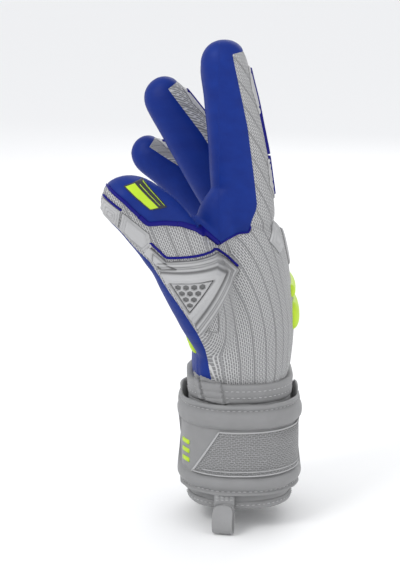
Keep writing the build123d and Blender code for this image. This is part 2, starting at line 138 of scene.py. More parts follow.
def soft_light(name, place, power, size):
    data = bpy.data.lights.new(name, "AREA")
    data.energy = power
    data.size = size
    lamp = bpy.data.objects.new(name, data)
    lamp.location = place
    lamp.rotation_euler = (TARGET - Vector(place)).to_track_quat("-Z", "Y").to_euler()
    bpy.context.scene.collection.objects.link(lamp)


soft_light("key", (-0.75, -0.8, 1.1), 7, 0.5)
soft_light("fill", (0.9, -0.9, 0.4), 2, 0.9)
soft_light("back", (0.4, 1.2, 0.9), 5, 0.9)
world = bpy.data.worlds.new("world")
world.use_nodes = True
world.node_tree.nodes["Background"].inputs["Color"].default_value = (0.97, 0.98, 1.0, 1)
world.node_tree.nodes["Background"].inputs["Strength"].default_value = 0.95
bpy.context.scene.world = world
bpy.context.scene.view_settings.view_transform = "Standard"

floor_bm = bmesh.new()
bmesh.ops.create_grid(floor_bm, x_segments=1, y_segments=1, size=16)
bmesh.ops.translate(floor_bm, verts=floor_bm.verts, vec=(0, 0, CAD_LOW[2]))
floor_mesh = bpy.data.meshes.new("floor")
floor_bm.to_mesh(floor_mesh)
floor_bm.free()
floor = bpy.data.objects.new("floor", floor_mesh)
bpy.context.scene.collection.objects.link(floor)
floor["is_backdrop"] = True
floor_paint = bpy.data.materials.new("floor_paint")
floor_paint.use_nodes = True
floor_paint.node_tree.nodes["Principled BSDF"].inputs["Base Color"].default_value = (0.93, 0.93, 0.93, 1)
floor_paint.node_tree.nodes["Principled BSDF"].inputs["Roughness"].default_value = 0.9
floor_mesh.materials.append(floor_paint)


# %% [markdown]
# Every finish starts as a Principled shader with its plain colour and gloss. The patterns are added to
# it: a small node helper makes a node and joins its inputs in one line, so that each recipe stays short.
# %% The base of every finish
class Finish:
    """A material and the few calls that its patterns need."""

    def __init__(self, name, colour, roughness, sheen=0.0):
        self.material = bpy.data.materials.new(name)
        self.material.use_nodes = True
        self.tree = self.material.node_tree
        self.shader = self.tree.nodes["Principled BSDF"]
        self.shader.inputs["Base Color"].default_value = (*colour, 1)
        self.shader.inputs["Roughness"].default_value = roughness
        self.shader.inputs["Sheen Weight"].default_value = sheen
        self.material.diffuse_color = (*colour, 1)

    def node(self, kind, settings=None, **inputs):
        made = self.tree.nodes.new(kind)
        for key, value in (settings or {}).items():
            setattr(made, key, value)
        for key, value in inputs.items():
            numbered = key[0] == "_" and key[1:].isdigit()
            socket = made.inputs[int(key[1:]) if numbered else key.replace("_", " ")]
            if isinstance(value, bpy.types.NodeSocket):
                self.tree.links.new(value, socket)
            else:
                socket.default_value = value
        return made

    def place(self):
        return self.node("ShaderNodeTexCoord").outputs["Object"]

    def weave(self):
        return self.node("ShaderNodeAttribute", {"attribute_name": "weave"}).outputs["Vector"]

    def two_colours(self, factor, low, high):
        mix = self.node("ShaderNodeMix", {"data_type": "RGBA"}, Factor=factor)
        mix.inputs["A"].default_value = (*low, 1)
        mix.inputs["B"].default_value = (*high, 1)
        return mix.outputs["Result"]

    def noise(self, vector, size, detail=2.0):
        made = self.node("ShaderNodeTexNoise", None, Vector=vector, Scale=1 / size, Detail=detail)
        return made.outputs["Fac"]

    def wobbled(self, vector, size, detail, amount):
        """The vector shifted by slow noise, so that rows drawn on it wave a little."""
        wave = self.node("ShaderNodeTexNoise", None, Vector=vector, Scale=1 / size, Detail=detail)
        scaled = {"operation": "SCALE"}
        shift = self.node("ShaderNodeVectorMath", scaled, _0=wave.outputs["Color"], Scale=amount)
        made = self.node("ShaderNodeVectorMath", {"operation": "ADD"}, _0=vector, _1=shift.outputs["Vector"])
        return made.outputs["Vector"]

    def bricks(self, vector, length, row, gap, soft):
        """Staggered dashes in rows: 1 in the gaps and 0 on the threads."""
        made = self.node("ShaderNodeTexBrick", {"offset": 0.5}, Vector=vector, Scale=1 / MM)
        made.inputs["Mortar Size"].default_value = gap
        made.inputs["Mortar Smooth"].default_value = soft
        made.inputs["Brick Width"].default_value = length / MM
        made.inputs["Row Height"].default_value = row / MM
        return made.outputs["Fac"]

    def ramp(self, value, low, high):
        """0 up to low, 1 from high, smooth between them."""
        made = self.node("ShaderNodeMapRange", {"interpolation_type": "SMOOTHSTEP"}, Value=value)
        made.inputs["From Min"].default_value = low
        made.inputs["From Max"].default_value = high
        return made.outputs["Result"]

    def math(self, operation, first, second):
        return self.node("ShaderNodeMath", {"operation": operation}, _0=first, _1=second).outputs[0]

    def colour(self, socket):
        self.tree.links.new(socket, self.shader.inputs["Base Color"])

    def roughness(self, factor, low, high):
        spread = self.node("ShaderNodeMapRange", None, Value=factor)
        spread.inputs["To Min"].default_value = low
        spread.inputs["To Max"].default_value = high
        self.tree.links.new(spread.outputs["Result"], self.shader.inputs["Roughness"])

    def bump(self, height, depth, strength=1.0):
        made = self.node("ShaderNodeBump", None, Height=height, Distance=depth, Strength=strength)
        previous = self.shader.inputs["Normal"]
        if previous.is_linked:
            self.tree.links.new(previous.links[0].from_socket, made.inputs["Normal"])
        self.tree.links.new(made.outputs["Normal"], previous)


# %% [markdown]
# Latex foam is a satin skin over open cells: deep blue, with a soft broad shine, a fine orange-peel grain
# and faint cloudy patches where it has been handled.
# %% Blue latex and its darker trim, which also paints shade on the latex edges
def latex_finish(name, deep, bright, roughness):
    finish = Finish(name, deep, roughness)
    finish.shader.inputs["Specular IOR Level"].default_value = 0.16
    place = finish.weave()
    clouds = finish.noise(place, 9 * MM, 3)
    finish.colour(finish.two_colours(clouds, deep, bright))
    finish.roughness(finish.noise(place, 4 * MM), roughness - 0.05, roughness + 0.08)
    finish.bump(finish.noise(place, 0.5 * MM, 3), 0.0001, 0.5)
    finish.bump(finish.noise(place, 5 * MM), 0.0005, 0.35)
    return finish.material


blue_latex = latex_finish("blue_latex", (0.0035, 0.016, 0.15), (0.005, 0.03, 0.23), 0.5)
# a darker, more violet copy of the latex: the colour of real trim on the guard and the finger backs, and
# painted shade on the latex edges at the web and the index finger
blue_trim = latex_finish("blue_trim", (0.0035, 0.003, 0.13), (0.006, 0.005, 0.19), 0.5)


# %% [markdown]
# The back of the hand is a woven textile: short dashes lie in rows that sweep round the hand as arcs, and
# every few rows a deeper line is pressed in. The pieces carry their own weave coordinates, in metres
# along and across the rows, so that the pattern stays on the cloth when a finger bends.
# %% Grey textile
DASH_LENGTH = 2.6 * MM
ROW_HEIGHT = 1.15 * MM
BAND_STEP = 8.5 * MM
BAND_HALF = 0.09             # half of a pressed line, as a share of the step


def textile_finish():
    finish = Finish("grey_textile", (0.40, 0.40, 0.40), 0.75, sheen=0.1)
    weave = finish.weave()
    moved = finish.wobbled(weave, 7 * MM, 1.0, 0.5 * MM)
    dashes = finish.bricks(moved, DASH_LENGTH, ROW_HEIGHT, 0.3, 0.6)
    across = finish.node("ShaderNodeSeparateXYZ", None, Vector=moved).outputs["Y"]
    share = finish.math("FRACT", finish.math("DIVIDE", across, BAND_STEP), 0.0)
    middle = finish.math("ABSOLUTE", finish.math("SUBTRACT", share, 0.5), 0.0)
    band = finish.ramp(middle, 0.0, BAND_HALF)
    threads = finish.two_colours(dashes, (0.20, 0.20, 0.205), (0.50, 0.50, 0.50))
    lines = finish.node("ShaderNodeMix", {"data_type": "RGBA"}, Factor=band)
    lines.inputs["A"].default_value = (0.25, 0.25, 0.255, 1)
    finish.tree.links.new(threads, lines.inputs["B"])
    finish.colour(lines.outputs["Result"])
    finish.bump(dashes, 0.00025, 0.8)
    finish.bump(band, 0.0005, 0.8)
    return finish.material


grey_textile = textile_finish()


# %% [markdown]
# Moulded rubber is matt, with a fine grain, and carries painted shade in its grooves: its recipe reads how
# high each point stands in the moulding and darkens the low points. The cuff is a smooth laminated fabric with
# a very fine knit. One plain recipe with a grain size serves it and the webbing, lining, tape, thread, lime
# rubber and ink.
# %% Rubber, cuff fabric, lining, lime and fastener finishes
def plain_finish(name, low, high, roughness, grain=0.35 * MM, depth=0.00012, sheen=0.0):
    finish = Finish(name, low, roughness, sheen)
    place = finish.place()
    finish.colour(finish.two_colours(finish.noise(place, 6 * MM, 3), low, high))
    finish.roughness(finish.noise(place, 3 * MM), roughness - 0.06, roughness + 0.08)
    finish.bump(finish.noise(place, grain, 2), depth, 0.7)
    return finish.material


def grey(level):
    return (level, level, level * 1.01)


def rubber_finish():
    """Painted shade darkens the moulding low down: the attribute rise is 0 in its grooves and 1 on its top."""
    finish = Finish("grey_rubber", grey(0.34), 0.5)
    place = finish.place()
    rise = finish.node("ShaderNodeAttribute", {"attribute_name": "rise"}).outputs["Fac"]
    # painted shade: the low points of the moulding take the dark grey
    finish.colour(finish.two_colours(finish.ramp(rise, 0.1, 0.62), grey(0.10), grey(0.42)))
    finish.roughness(finish.noise(place, 3 * MM), 0.42, 0.58)
    finish.bump(finish.noise(place, 0.35 * MM, 2), 0.0001, 0.6)
    return finish.material


grey_rubber = rubber_finish()
dark_rubber = plain_finish("dark_rubber", grey(0.13), grey(0.17), 0.55)
cuff_fabric = plain_finish("cuff_fabric", grey(0.205), grey(0.24), 0.6, 0.5 * MM, 0.0002, 0.1)
tab_webbing = plain_finish("tab_webbing", grey(0.24), grey(0.29), 0.7, 0.6 * MM, 0.0003, 0.1)
lining_cloth = plain_finish("lining_cloth", grey(0.36), grey(0.44), 0.9, 0.7 * MM, 0.0003, 0.2)
lime_rubber = plain_finish("lime_rubber", (0.40, 0.60, 0.008), (0.50, 0.70, 0.015), 0.45)
light_thread = plain_finish("light_thread", grey(0.36), grey(0.43), 0.6, 0.3 * MM)
fastener_tape = plain_finish("fastener_tape", grey(0.07), grey(0.10), 0.95, 0.45 * MM, 0.0006)
black_ink = plain_finish("black_ink", (0.012, 0.014, 0.02), (0.02, 0.022, 0.03), 0.5)


def mesh_finish():
    """Knitted mesh: short dark openings in fine, slightly wavy rows."""
    finish = Finish("dark_mesh", grey(0.18), 0.7, sheen=0.1)
    moved = finish.wobbled(finish.weave(), 4 * MM, 2.0, 2.2 * MM)
    rows = finish.bricks(moved, 2.3 * MM, 1.15 * MM, 0.32, 0.7)
    finish.colour(finish.two_colours(rows, grey(0.16), grey(0.29)))
    finish.bump(rows, 0.0003, 0.8)
    return finish.material


dark_mesh = mesh_finish()


# %% [markdown]
# Each digit is two straight parts that meet at its middle joint. The joints give the lines, and the
# farthest corner of the CAD tip gives the length. A digit's own axes are along it, towards its back, and
# across it.
# %% Where the digits are
JOINTS = {j["name"]: j for j in frame["joints"]}
# depth at the root, the middle joint and the tip, and width at the same three places
SIZES = {
    "index": ((35.5, 31.5, 25), (24, 24, 22.5)),
    "middle": ((35, 31.5, 25), (24, 24, 22.5)),
    "ring": ((33, 31, 24), (24, 24, 22)),
    "little": ((28, 26, 21.5), (22.5, 22, 20)),
    "thumb": ((32, 33.5, 26.5), (37, 34, 28)),
}


THUMB_SHORTER = 5.0 * MM     # the foam ends this far inside the thumb's CAD tip
THUMB_FULLER = 3.4 * MM      # and stands this much further out on the side that faces the fingers


class Digit:
    def __init__(self, name):
        first = JOINTS[name + ("_root_joint" if name == "thumb" else "_root")]
        second = JOINTS[name + "_middle"]
        self.name = name
        self.root = Vector(first["pos_m"])
        self.knee = Vector(second["pos_m"])
        self.along = (self.knee - self.root).normalized()
        self.base_length = (self.knee - self.root).length
        axis = Vector(first["axis"]).normalized()
        self.across = axis if name == "thumb" else -axis
        self.back = self.across.cross(self.along)
        self.depths = [d * MM for d in SIZES[name][0]]
        self.widths = [w * MM for w in SIZES[name][1]]
        nodes = [frame["nodes"][name + part].data.vertices for part in ("_tip_latex", "_tip_back")]
        points = np.array([v.co for group in nodes for v in group])
        reach = np.linalg.norm(points - np.array(self.knee), axis=1)
        far = points[reach > reach.max() - 2 * MM]
        end = Vector((far.min(0) + far.max(0)) / 2)
        self.tip_along = (end - self.knee).normalized()
        self.tip_back = self.across.cross(self.tip_along).normalized()
        self.tip_length = float(((points - np.array(self.knee)) @ np.array(self.tip_along)).max())
        self.tip_length -= THUMB_SHORTER if name == "thumb" else 0

    def size_at(self, s):
        """Depth and width, s metres past the root."""
        places = [0, self.base_length, self.base_length + self.tip_length]
        return np.interp(s, places, self.depths), np.interp(s, places, self.widths)

    def point_at(self, s):
        if s <= self.base_length:
            return self.root + s * self.along
        return self.knee + (s - self.base_length) * self.tip_along

    def ring_at(self, s, scale=1.0):
        """The frame of one ring: a unit circle becomes the digit's section."""
        past = s - self.base_length
        turn = float(smoothstep(past / (12 * MM) + 0.5))
        along = self.along.lerp(self.tip_along, turn).normalized()
        back = self.across.cross(along).normalized()
        depth, width = self.size_at(s)
        centre = self.point_at(s)
        if self.name == "thumb":
            fuller = float(smoothstep(s / self.base_length) - smoothstep((past - 12 * MM) / (24 * MM)))
            centre -= back * THUMB_FULLER * fuller
        return section_frame(centre, back, self.across, along, depth * scale, width * scale)


# back, across and along of a level ring
UPRIGHT = (Vector((1, 0, 0)), Vector((0, 1, 0)), Vector((0, 0, 1)))


def section_frame(centre, back, across, along, depth, width):
    columns = Matrix((back * depth / 2, across * width / 2, along)).transposed()
    return Matrix.Translation(centre) @ columns.to_4x4()


digits = {name: Digit(name) for name in DIGITS}
for d in digits.values():
    print(d.name, "base", round(d.base_length / MM, 1), "mm, tip", round(d.tip_length / MM, 1), "mm")


# %% [markdown]
# A finger of foam latex is a rolled tube with a domed end. One squared-off circle is extruded from ring
# to ring, each ring set by its own frame, and subdivision rounds the whole. Lofting like this keeps every
# size in hand, where a stretched sphere would not.
# %% Loft a tube through frames
CAGE_SIDES = 16
CAGE_GROWTH = 1.025          # subdivision pulls a 16-sided cage in by this much
DOME_RINGS = 5


def carry_edges(bm, edges, frames):
    """Extrudes a ring of edges from frame to frame and returns its last edges."""
    for before, after in zip(frames, frames[1:]):
        grown = bmesh.ops.extrude_edge_only(bm, edges=edges)["geom"]
        ring = {g for g in grown if isinstance(g, bmesh.types.BMVert)}
        edges = [g for g in grown if isinstance(g, bmesh.types.BMEdge) and set(g.verts) <= ring]
        bmesh.ops.transform(bm, matrix=after @ before.inverted(), verts=list(ring))
    return edges


def close_ends(bm, *rims):
    for rim in rims:
        bmesh.ops.edgeloop_fill(bm, edges=rim)


def loft(bm, frames, squareness):
    """Carries a squared-off circle through the frames and closes both ends."""
    ring = bmesh.ops.create_circle(bm, segments=CAGE_SIDES, radius=CAGE_GROWTH)["verts"]
    for vert in ring:
        for i in (0, 1):
            share = abs(vert.co[i]) / CAGE_GROWTH
            vert.co[i] = math.copysign(CAGE_GROWTH * share ** (2 / squareness), vert.co[i])
    bmesh.ops.transform(bm, matrix=frames[0], verts=ring)
    first = list({edge for vert in ring for edge in vert.link_edges})
    close_ends(bm, first, carry_edges(bm, first, frames))


def digit_frames(digit, start, dome):
    """Rings from start to the tip, where they shrink as a dome of that length."""
    end = digit.base_length + digit.tip_length
    straight = np.linspace(start, end - dome, 8)
    rings = [digit.ring_at(float(s)) for s in straight]
    for k in range(1, DOME_RINGS + 1):
        angle = math.pi / 2 * k / (DOME_RINGS + 0.35)
        rings.append(digit.ring_at(end - dome + dome * math.sin(angle), math.cos(angle) ** 0.85))
    return rings


skin_bm = bmesh.new()
for name in FINGERS:
    loft(skin_bm, digit_frames(digits[name], -26 * MM, 13 * MM), 2.35)
print("fingers:", len(skin_bm.faces), "faces in the cage")


# %% [markdown]
# The hand is a flat tube that widens from the wrist to the knuckles, and its top slopes down towards the
# little finger. The ball of the thumb starts inside the palm and runs out into the thumb. A fold of cloth
# joins the thumb to the palm, and the index finger's root spreads over the palm's edge: each is a short
# tube of its own.
# %% The hand and the ball of the thumb
CROWN_HEIGHT = 166 * MM
CROWN_SLOPE = math.radians(9)
# height, palm side, back side, thumb side, little-finger side, in millimetres
HAND_RINGS = (
    (66, -28.5, 30, -37.5, 37.5), (76, -28.6, 30.4, -38.2, 38.2), (88, -28, 32, -41, 41),
    (104, -28, 33.5, -45, 44.5), (118, -26, 33, -48.5, 47), (132, -23.5, 31.5, -50, 48.5),
    (148, -20.5, 29, -51, 50),
)


def hand_frames():
    rings = []
    for height, palm, back, thumb_side, little_side in HAND_RINGS:
        centre = mm((palm + back) / 2, (thumb_side + little_side) / 2, height)
        size = ((back - palm) * MM, (little_side - thumb_side) * MM)
        rings.append(section_frame(centre, *UPRIGHT, *size))
    tilt = Vector((0, math.cos(CROWN_SLOPE), -math.sin(CROWN_SLOPE)))
    up = Vector((0, math.sin(CROWN_SLOPE), math.cos(CROWN_SLOPE)))
    for rise, depth, width in ((-4, 44, 101), (3, 37, 92), (5, 20, 60)):
        centre = mm(4, -0.5, 0) + Vector((0, 0, CROWN_HEIGHT + rise * MM))
        rings.append(section_frame(centre, UPRIGHT[0], tilt, up, depth * MM, width * MM))
    return rings


def ball_frames():
    thumb = digits["thumb"]
    places = [(mm(-2, -8, 80), 30, 26), (mm(-7, -20, 98), 38, 34), (mm(-22, -43, 133), 37, 42)]
    centres = [p[0] for p in places] + [thumb.root]
    rings = []
    for i, (centre, depth, width) in enumerate(places):
        along = (centres[i + 1] - centres[max(i - 1, 0)]).normalized()
        across = (thumb.across - along * thumb.across.dot(along)).normalized()
        rings.append(section_frame(centre, across.cross(along), across, along, depth * MM, width * MM))
    return rings


WEB = ((mm(-37, -49, 166), 26), (mm(-23, -43, 165.5), 26), (mm(-6, -34, 160), 28))    # centre and thickness
# x, y and height of the centre, depth and width: the index finger's root spreads out over the palm's edge
FLARE = ((-3, -41, 200, 20, 20), (-9, -41, 189, 24, 21), (-15, -42, 178, 24, 21), (-11, -42, 167, 20, 20),
         (-5, -41, 156, 18, 18))


def flare_frames():
    return [section_frame(mm(*row[:3]), *UPRIGHT, row[3] * MM, row[4] * MM) for row in FLARE]


def web_frames():
    """The fold of cloth between the thumb and the palm."""
    along = (WEB[-1][0] - WEB[0][0]).normalized()
    across = UPRIGHT[2].cross(along).normalized()
    return [section_frame(p, across.cross(along), across, along, size * MM, size * MM) for p, size in WEB]


loft(skin_bm, hand_frames(), 2.8)
loft(skin_bm, web_frames(), 2.0)
loft(skin_bm, flare_frames(), 2.2)
loft(skin_bm, ball_frames() + digit_frames(digits["thumb"], 0, 15 * MM), 2.4)
bmesh.ops.recalc_face_normals(skin_bm, faces=skin_bm.faces)


# %% [markdown]
# The closed shells overlap. A voxel remesh makes one watertight skin of their union, and smoothing rounds
# the creases between the fingers as foam does. The skin is then cut open at the wrist.
# %% One skin from the shells
VOXEL = 1.2 * MM
WRIST = 75.5 * MM
draft = bpy.data.meshes.new("draft")
skin_bm.to_mesh(draft)
skin_bm.free()
draft_object = bpy.data.objects.new("draft", draft)
bpy.context.scene.collection.objects.link(draft_object)
cage = draft_object.modifiers.new("round", "SUBSURF")
cage.levels = 2
remesh = draft_object.modifiers.new("union", "REMESH")
remesh.mode = "VOXEL"
remesh.voxel_size = VOXEL
relax = draft_object.modifiers.new("relax", "SMOOTH")
relax.factor = 0.5
relax.iterations = 7
bpy.context.view_layer.update()
evaluated = draft_object.evaluated_get(bpy.context.evaluated_depsgraph_get())
skin = bmesh.new()
skin.from_mesh(evaluated.to_mesh())
evaluated.to_mesh_clear()
bpy.data.objects.remove(draft_object)
everything = [*skin.verts, *skin.edges, *skin.faces]
bmesh.ops.bisect_plane(skin, geom=everything, plane_co=(0, 0, WRIST), plane_no=(0, 0, 1), clear_inner=True)
print("skin:", len(skin.verts), "points,", len(skin.faces), "faces")


# %% [markdown]
# Where does latex end and textile begin? One number per point says how far it is inside the textile, in
# metres, and the seam is where that number is nought. On the fingers it depends on the way round the
# finger; on the thumb's side of the hand it is the distance to the outline of the textile panel.
# %% The field that tells latex from textile
BACK_SHARE = 0.2             # of a finger's depth, from its middle line to the seam
TIP_CAP = 8 * MM             # latex wraps over the fingertip by this much
# outline of the textile on the thumb's side: (x, z) in millimetres, clockwise from the thumb's tip
TEXTILE_OUTLINE = (
    (-84, 197), (-75.2, 202.6), (-65.5, 194.7), (-57.2, 185.5), (-52.6, 180.8), (-43, 181), (-34.2, 179.2),
    (-25.7, 175), (-18.9, 168.9), (-12.6, 163.5), (-8, 166.4), (-1.7, 169.3), (4.4, 169.9), (5.1, 173.9),
    (6.2, 184.9), (6.2, 210), (70, 210), (70, 40), (-16, 40), (-16.9, 72.6), (-18.1, 81.7), (-21.1, 98.5),
    (-25.7, 110.2), (-30.9, 119.5), (-41.2, 136.6), (-52.3, 156.9), (-62, 166), (-70.5, 174.5), (-80, 184.5),
    (-88, 190),
)


def to_segment(points, a, b):
    """How far each point is from the straight piece a to b."""
    side = b - a
    share = np.clip(((points - a) @ side) / (side @ side), 0, 1)
    return np.linalg.norm(points - a - share[:, None] * side, axis=1)


def distance_inside(points, outline):
    """How far each (x, z) lies inside the closed outline, below nought outside it."""
    corners = np.array(outline) * MM
    nearest = np.full(len(points), 1e9)
    inside = np.zeros(len(points), bool)
    for a, b in zip(corners, np.roll(corners, -1, axis=0)):
        side = b - a
        nearest = np.minimum(nearest, to_segment(points, a, b))
        crosses = (a[1] > points[:, 1]) != (b[1] > points[:, 1])
        slope = np.where(crosses, (points[:, 1] - a[1]) / np.where(side[1] == 0, 1, side[1]), 0)
        inside ^= crosses & (points[:, 0] < a[0] + slope * side[0])
    return np.where(inside, nearest, -nearest)


def crown_at(y):
    return CROWN_HEIGHT - math.tan(CROWN_SLOPE) * y


def finger_field(digit, points):
    """Depth into the back panel of one finger."""
    from_root = points - np.array(digit.root)
    s = from_root @ np.array(digit.along)
    from_knee = points - np.array(digit.knee)
    past = from_knee @ np.array(digit.tip_along)
    turn = smoothstep(past / (12 * MM) + 0.5)
    height = (1 - turn) * (from_root @ np.array(digit.back)) + turn * (from_knee @ np.array(digit.tip_back))
    reach = np.where(past > 0, digit.base_length + past, s)
    depth = digit.size_at(reach)[0]
    end = digit.base_length + digit.tip_length - TIP_CAP - reach
    return np.minimum(height - BACK_SHARE * depth, end)


# x and height of a spot where the seam reaches round the edge, and how wide the spot is, in millimetres
FOLD_SPOT = (-14, 160, 11)
THUMB_TIP_SPOT = (-82, 192, 13)
FOLD_SIDE = -34              # the fold's spot counts only past this y
FRONT_EDGE = 15              # the outline counts this far out on the thumb's side
LITTLE_SEAM = ((80, 130, 156), (-22, -15, 3))   # heights, and x of the seam on the little finger's side
BACK_SEAM = 5 * MM           # x of the seam over the palm's edge
THUMB_SPACE = (-28, -48)     # past this x and y all skin is the thumb's


def near(x, z, spot):
    return np.exp(-((x - spot[0] * MM) ** 2 + (z - spot[1] * MM) ** 2) / (spot[2] * MM) ** 2)


def textile_field(points, normals):
    x, y, z = points.T
    outline = distance_inside(points[:, [0, 2]], TEXTILE_OUTLINE)
    in_fold = near(x, z, FOLD_SPOT) * smoothstep((FOLD_SIDE * MM - y) / (6 * MM))
    facing = (-normals[:, 1] - 0.25 + 1.5 * in_fold + 0.6 * near(x, z, THUMB_TIP_SPOT)) * 12 * MM
    front = np.minimum(np.minimum(outline, facing), -y - FRONT_EDGE * MM)
    little_seam = np.interp(z / MM, *LITTLE_SEAM) * MM
    back_seam = BACK_SEAM + np.where(y < 0, 0, smoothstep(y / (40 * MM)) * (little_seam - BACK_SEAM))
    beside = np.minimum(x - back_seam, (normals[:, 0] + 0.6) * 12 * MM)
    hand = np.maximum(front, beside)
    ys = np.array([digits[n].root.y for n in FINGERS])
    nearest = np.abs(y[:, None] - ys).argmin(1)
    finger = np.choose(nearest, [finger_field(digits[n], points) for n in FINGERS])
    rise = smoothstep((z - crown_at(y)) / (14 * MM))
    rise[(x < THUMB_SPACE[0] * MM) & (y < THUMB_SPACE[1] * MM)] = 0
    return (1 - rise) * hand + rise * finger


def skin_arrays():
    skin.verts.index_update()
    skin.normal_update()
    return np.array([v.co for v in skin.verts]), np.array([v.normal for v in skin.verts])


# %% [markdown]
# The skin is cut along the seam: each edge that crosses nought is split there, and the new points are joined
# across the faces. The same is done by flat cuts where a digit leaves the hand and halfway along its base, so
# that each stretch of skin becomes a piece of its own.
# %% Cut the skin along its seams and joints
ROOT_CUT = 8 * MM            # the digit's own skin starts this far before its root joint
ROOT_BEND = 12 * MM          # and has turned with the base this far past it
THUMB_HALVES = (21 * MM, 25 * MM)    # the thumb's skin lies within this oval of its line
FINGER_HALF = 13.45 * MM     # a finger's skin within this much of its line
PALM_REACH = -31 * MM        # and no further towards the palm than this


def split_at(values):
    """Splits the skin where the values, one for each point, cross nought."""
    crossing = []
    for edge in skin.edges:
        a, b = (values[v.index] for v in edge.verts)
        if a * b < 0:
            crossing.append((edge, edge.verts[0], a / (a - b)))
    made = [bmesh.utils.edge_split(edge, vert, share)[1] for edge, vert, share in crossing]
    bmesh.ops.connect_verts(skin, verts=made)
    return made


def cut_flat(point, normal, chosen):
    faces = [f for f in skin.faces if chosen(f.calc_center_median())]
    parts = {*faces} | {e for f in faces for e in f.edges} | {v for f in faces for v in f.verts}
    bmesh.ops.bisect_plane(skin, geom=list(parts), dist=1e-6, plane_co=point, plane_no=normal)


def belongs(digit, point):
    """Whether a point of the skin can be part of this digit."""
    offset = point - digit.root
    if digit.name == "thumb":
        deep, wide = THUMB_HALVES
        return (offset.dot(digit.back) / deep) ** 2 + (offset.dot(digit.across) / wide) ** 2 < 1
    return abs(offset.y) < FINGER_HALF and offset.dot(digit.back) > PALM_REACH


points, normals = skin_arrays()
field = textile_field(points, normals)
seam_points = split_at(field)
bmesh.ops.remove_doubles(skin, verts=seam_points, dist=0.25 * MM)
for d in digits.values():
    for s in (-ROOT_CUT, d.base_length / 2):
        spot = d.point_at(s)
        cut_flat(spot, d.along, lambda p: belongs(d, p) and abs((p - spot).dot(d.along)) < 6 * MM)
print("cut skin:", len(skin.faces), "faces,", len(seam_points), "seam points")


# %% [markdown]
# Sewn foam stands proud of its seam, and the textile lies a little lower. The skin is moved along its
# normals by an amount that depends only on the distance to the seam, with a slow unevenness on top.
# Before the points move, each one stores its place in the weave: along the rows, across them, and its
# height.
# %% Puff the latex and store the weave
LATEX_PUFF = 1.0 * MM
SEAM_SINK = 0.35 * MM
TEXTILE_SINK = 0.3 * MM
WRIST_TUCK = 0.03            # the skin's lower edge draws in by this share, under the knit
WEAVE_CENTRE = (-217 * MM, 20 * MM)
WEAVE_RADIUS = 235 * MM
BACK_LINE = 30 * MM          # x of the back, and y of the thumb's side below
SIDE_LINE = 48 * MM
THUMB_ROWS = (0.34, -0.94)   # on the thumb the rows run this way, in x and height
THUMB_WEAVE = (-13, -38, 112)        # from this x and y outwards and this height up

points, normals = skin_arrays()
field = textile_field(points, normals)
latex_rise = LATEX_PUFF * (1 - np.exp(np.minimum(field, 0) / (2.2 * MM)))
textile_fall = TEXTILE_SINK * (1 - np.exp(-np.maximum(field, 0) / (3 * MM)))
uneven = np.array([noise.noise(Vector(p) / (15 * MM)) for p in points]) * 0.35 * MM
gather = np.exp(-np.maximum(points[:, 2] - WRIST, 0) / (9 * MM)) * 0.3 * MM
around = np.arctan2(points[:, 1], points[:, 0])
uneven += gather * np.sin(34 * around + 2 * np.sin(5 * around))
moved = points + normals * (latex_rise - textile_fall - SEAM_SINK + uneven)[:, None]
tuck = 1 - WRIST_TUCK * (1 - smoothstep((points[:, 2] - WRIST) / (9 * MM)))
moved[:, :2] *= tuck[:, None]

x, y, z = points.T
near_thumb = smoothstep((-y - 10 * MM) / (25 * MM))
near_little = smoothstep((y - 10 * MM) / (25 * MM))
unrolled = y + SIDE_LINE + BACK_LINE + (near_thumb - near_little) * (x - BACK_LINE)
from_centre = np.stack([unrolled - WEAVE_CENTRE[0], z - WEAVE_CENTRE[1]])
turned = np.arctan2(from_centre[1], from_centre[0])
weave = np.stack([turned * WEAVE_RADIUS, np.hypot(*from_centre), z], axis=1)
on_thumb = (x < THUMB_WEAVE[0] * MM) & (y < THUMB_WEAVE[1] * MM) & (z > THUMB_WEAVE[2] * MM)
weave[on_thumb, 0] = x[on_thumb] * THUMB_ROWS[0] + z[on_thumb] * THUMB_ROWS[1]
weave[on_thumb, 1] = x[on_thumb] * -THUMB_ROWS[1] + z[on_thumb] * THUMB_ROWS[0]
weave_layer = skin.verts.layers.float_vector.new("weave")
for vert, place, pattern in zip(skin.verts, moved, weave):
    vert.co = place
    vert[weave_layer] = Vector(pattern)
skin.normal_update()
skin_tree = BVHTree.FromBMesh(skin)


def hides_thumb(point):
    """Skin of the palm and the fingers, which stands before or behind the thumb."""
    in_palm = point.z > 150 * MM and point.y > -44 * MM
    return in_palm or (point.z > 171 * MM and not belongs(digits["thumb"], point))


thumb_side = skin.copy()
stray = [f for f in thumb_side.faces if hides_thumb(f.calc_center_median())]
bmesh.ops.delete(thumb_side, geom=stray, context="FACES")
thumb_tree = BVHTree.FromBMesh(thumb_side)
thumb_side.free()
print("latex stands", round(float(latex_rise.max()) / MM, 2), "mm above its seam")


# %% [markdown]
# The skin now comes apart as the real glove does: latex and textile for the hand, and for each digit a lower
# stretch by its root and an upper one over its middle joint. Each piece gets the thickness of its cloth
# inwards.
# %% Take the panels
LATEX_THICK = 2.2 * MM
TEXTILE_THICK = 1.6 * MM


def thicken(piece, thickness):
    """Gives a sheet its wall, inwards."""
    wall = piece.modifiers.new("cloth", "SOLIDIFY")
    wall.thickness = thickness
    wall.offset = -1


def zone_of(point):
    for digit in digits.values():
        s = (point - digit.root).dot(digit.along)
        if s > -ROOT_CUT and belongs(digit, point):
            return digit.name + ("_upper" if s > digit.base_length / 2 else "_lower")
    return "hand"


def bend(piece, zone):
    """Lets a hand piece ride with the hand's body; a digit's piece only gets its transform baked."""
    if zone == "hand":
        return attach(piece, "hand")
    digit = digits[zone.rsplit("_", 1)[0]]
    half = digit.base_length / 2
    if zone.endswith("lower"):
        reach = (digit.point_at(-ROOT_CUT), digit.point_at(min(ROOT_BEND, half)))
        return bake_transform(piece)
    reach = (digit.point_at(half), digit.knee + half * digit.along)
    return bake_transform(piece)


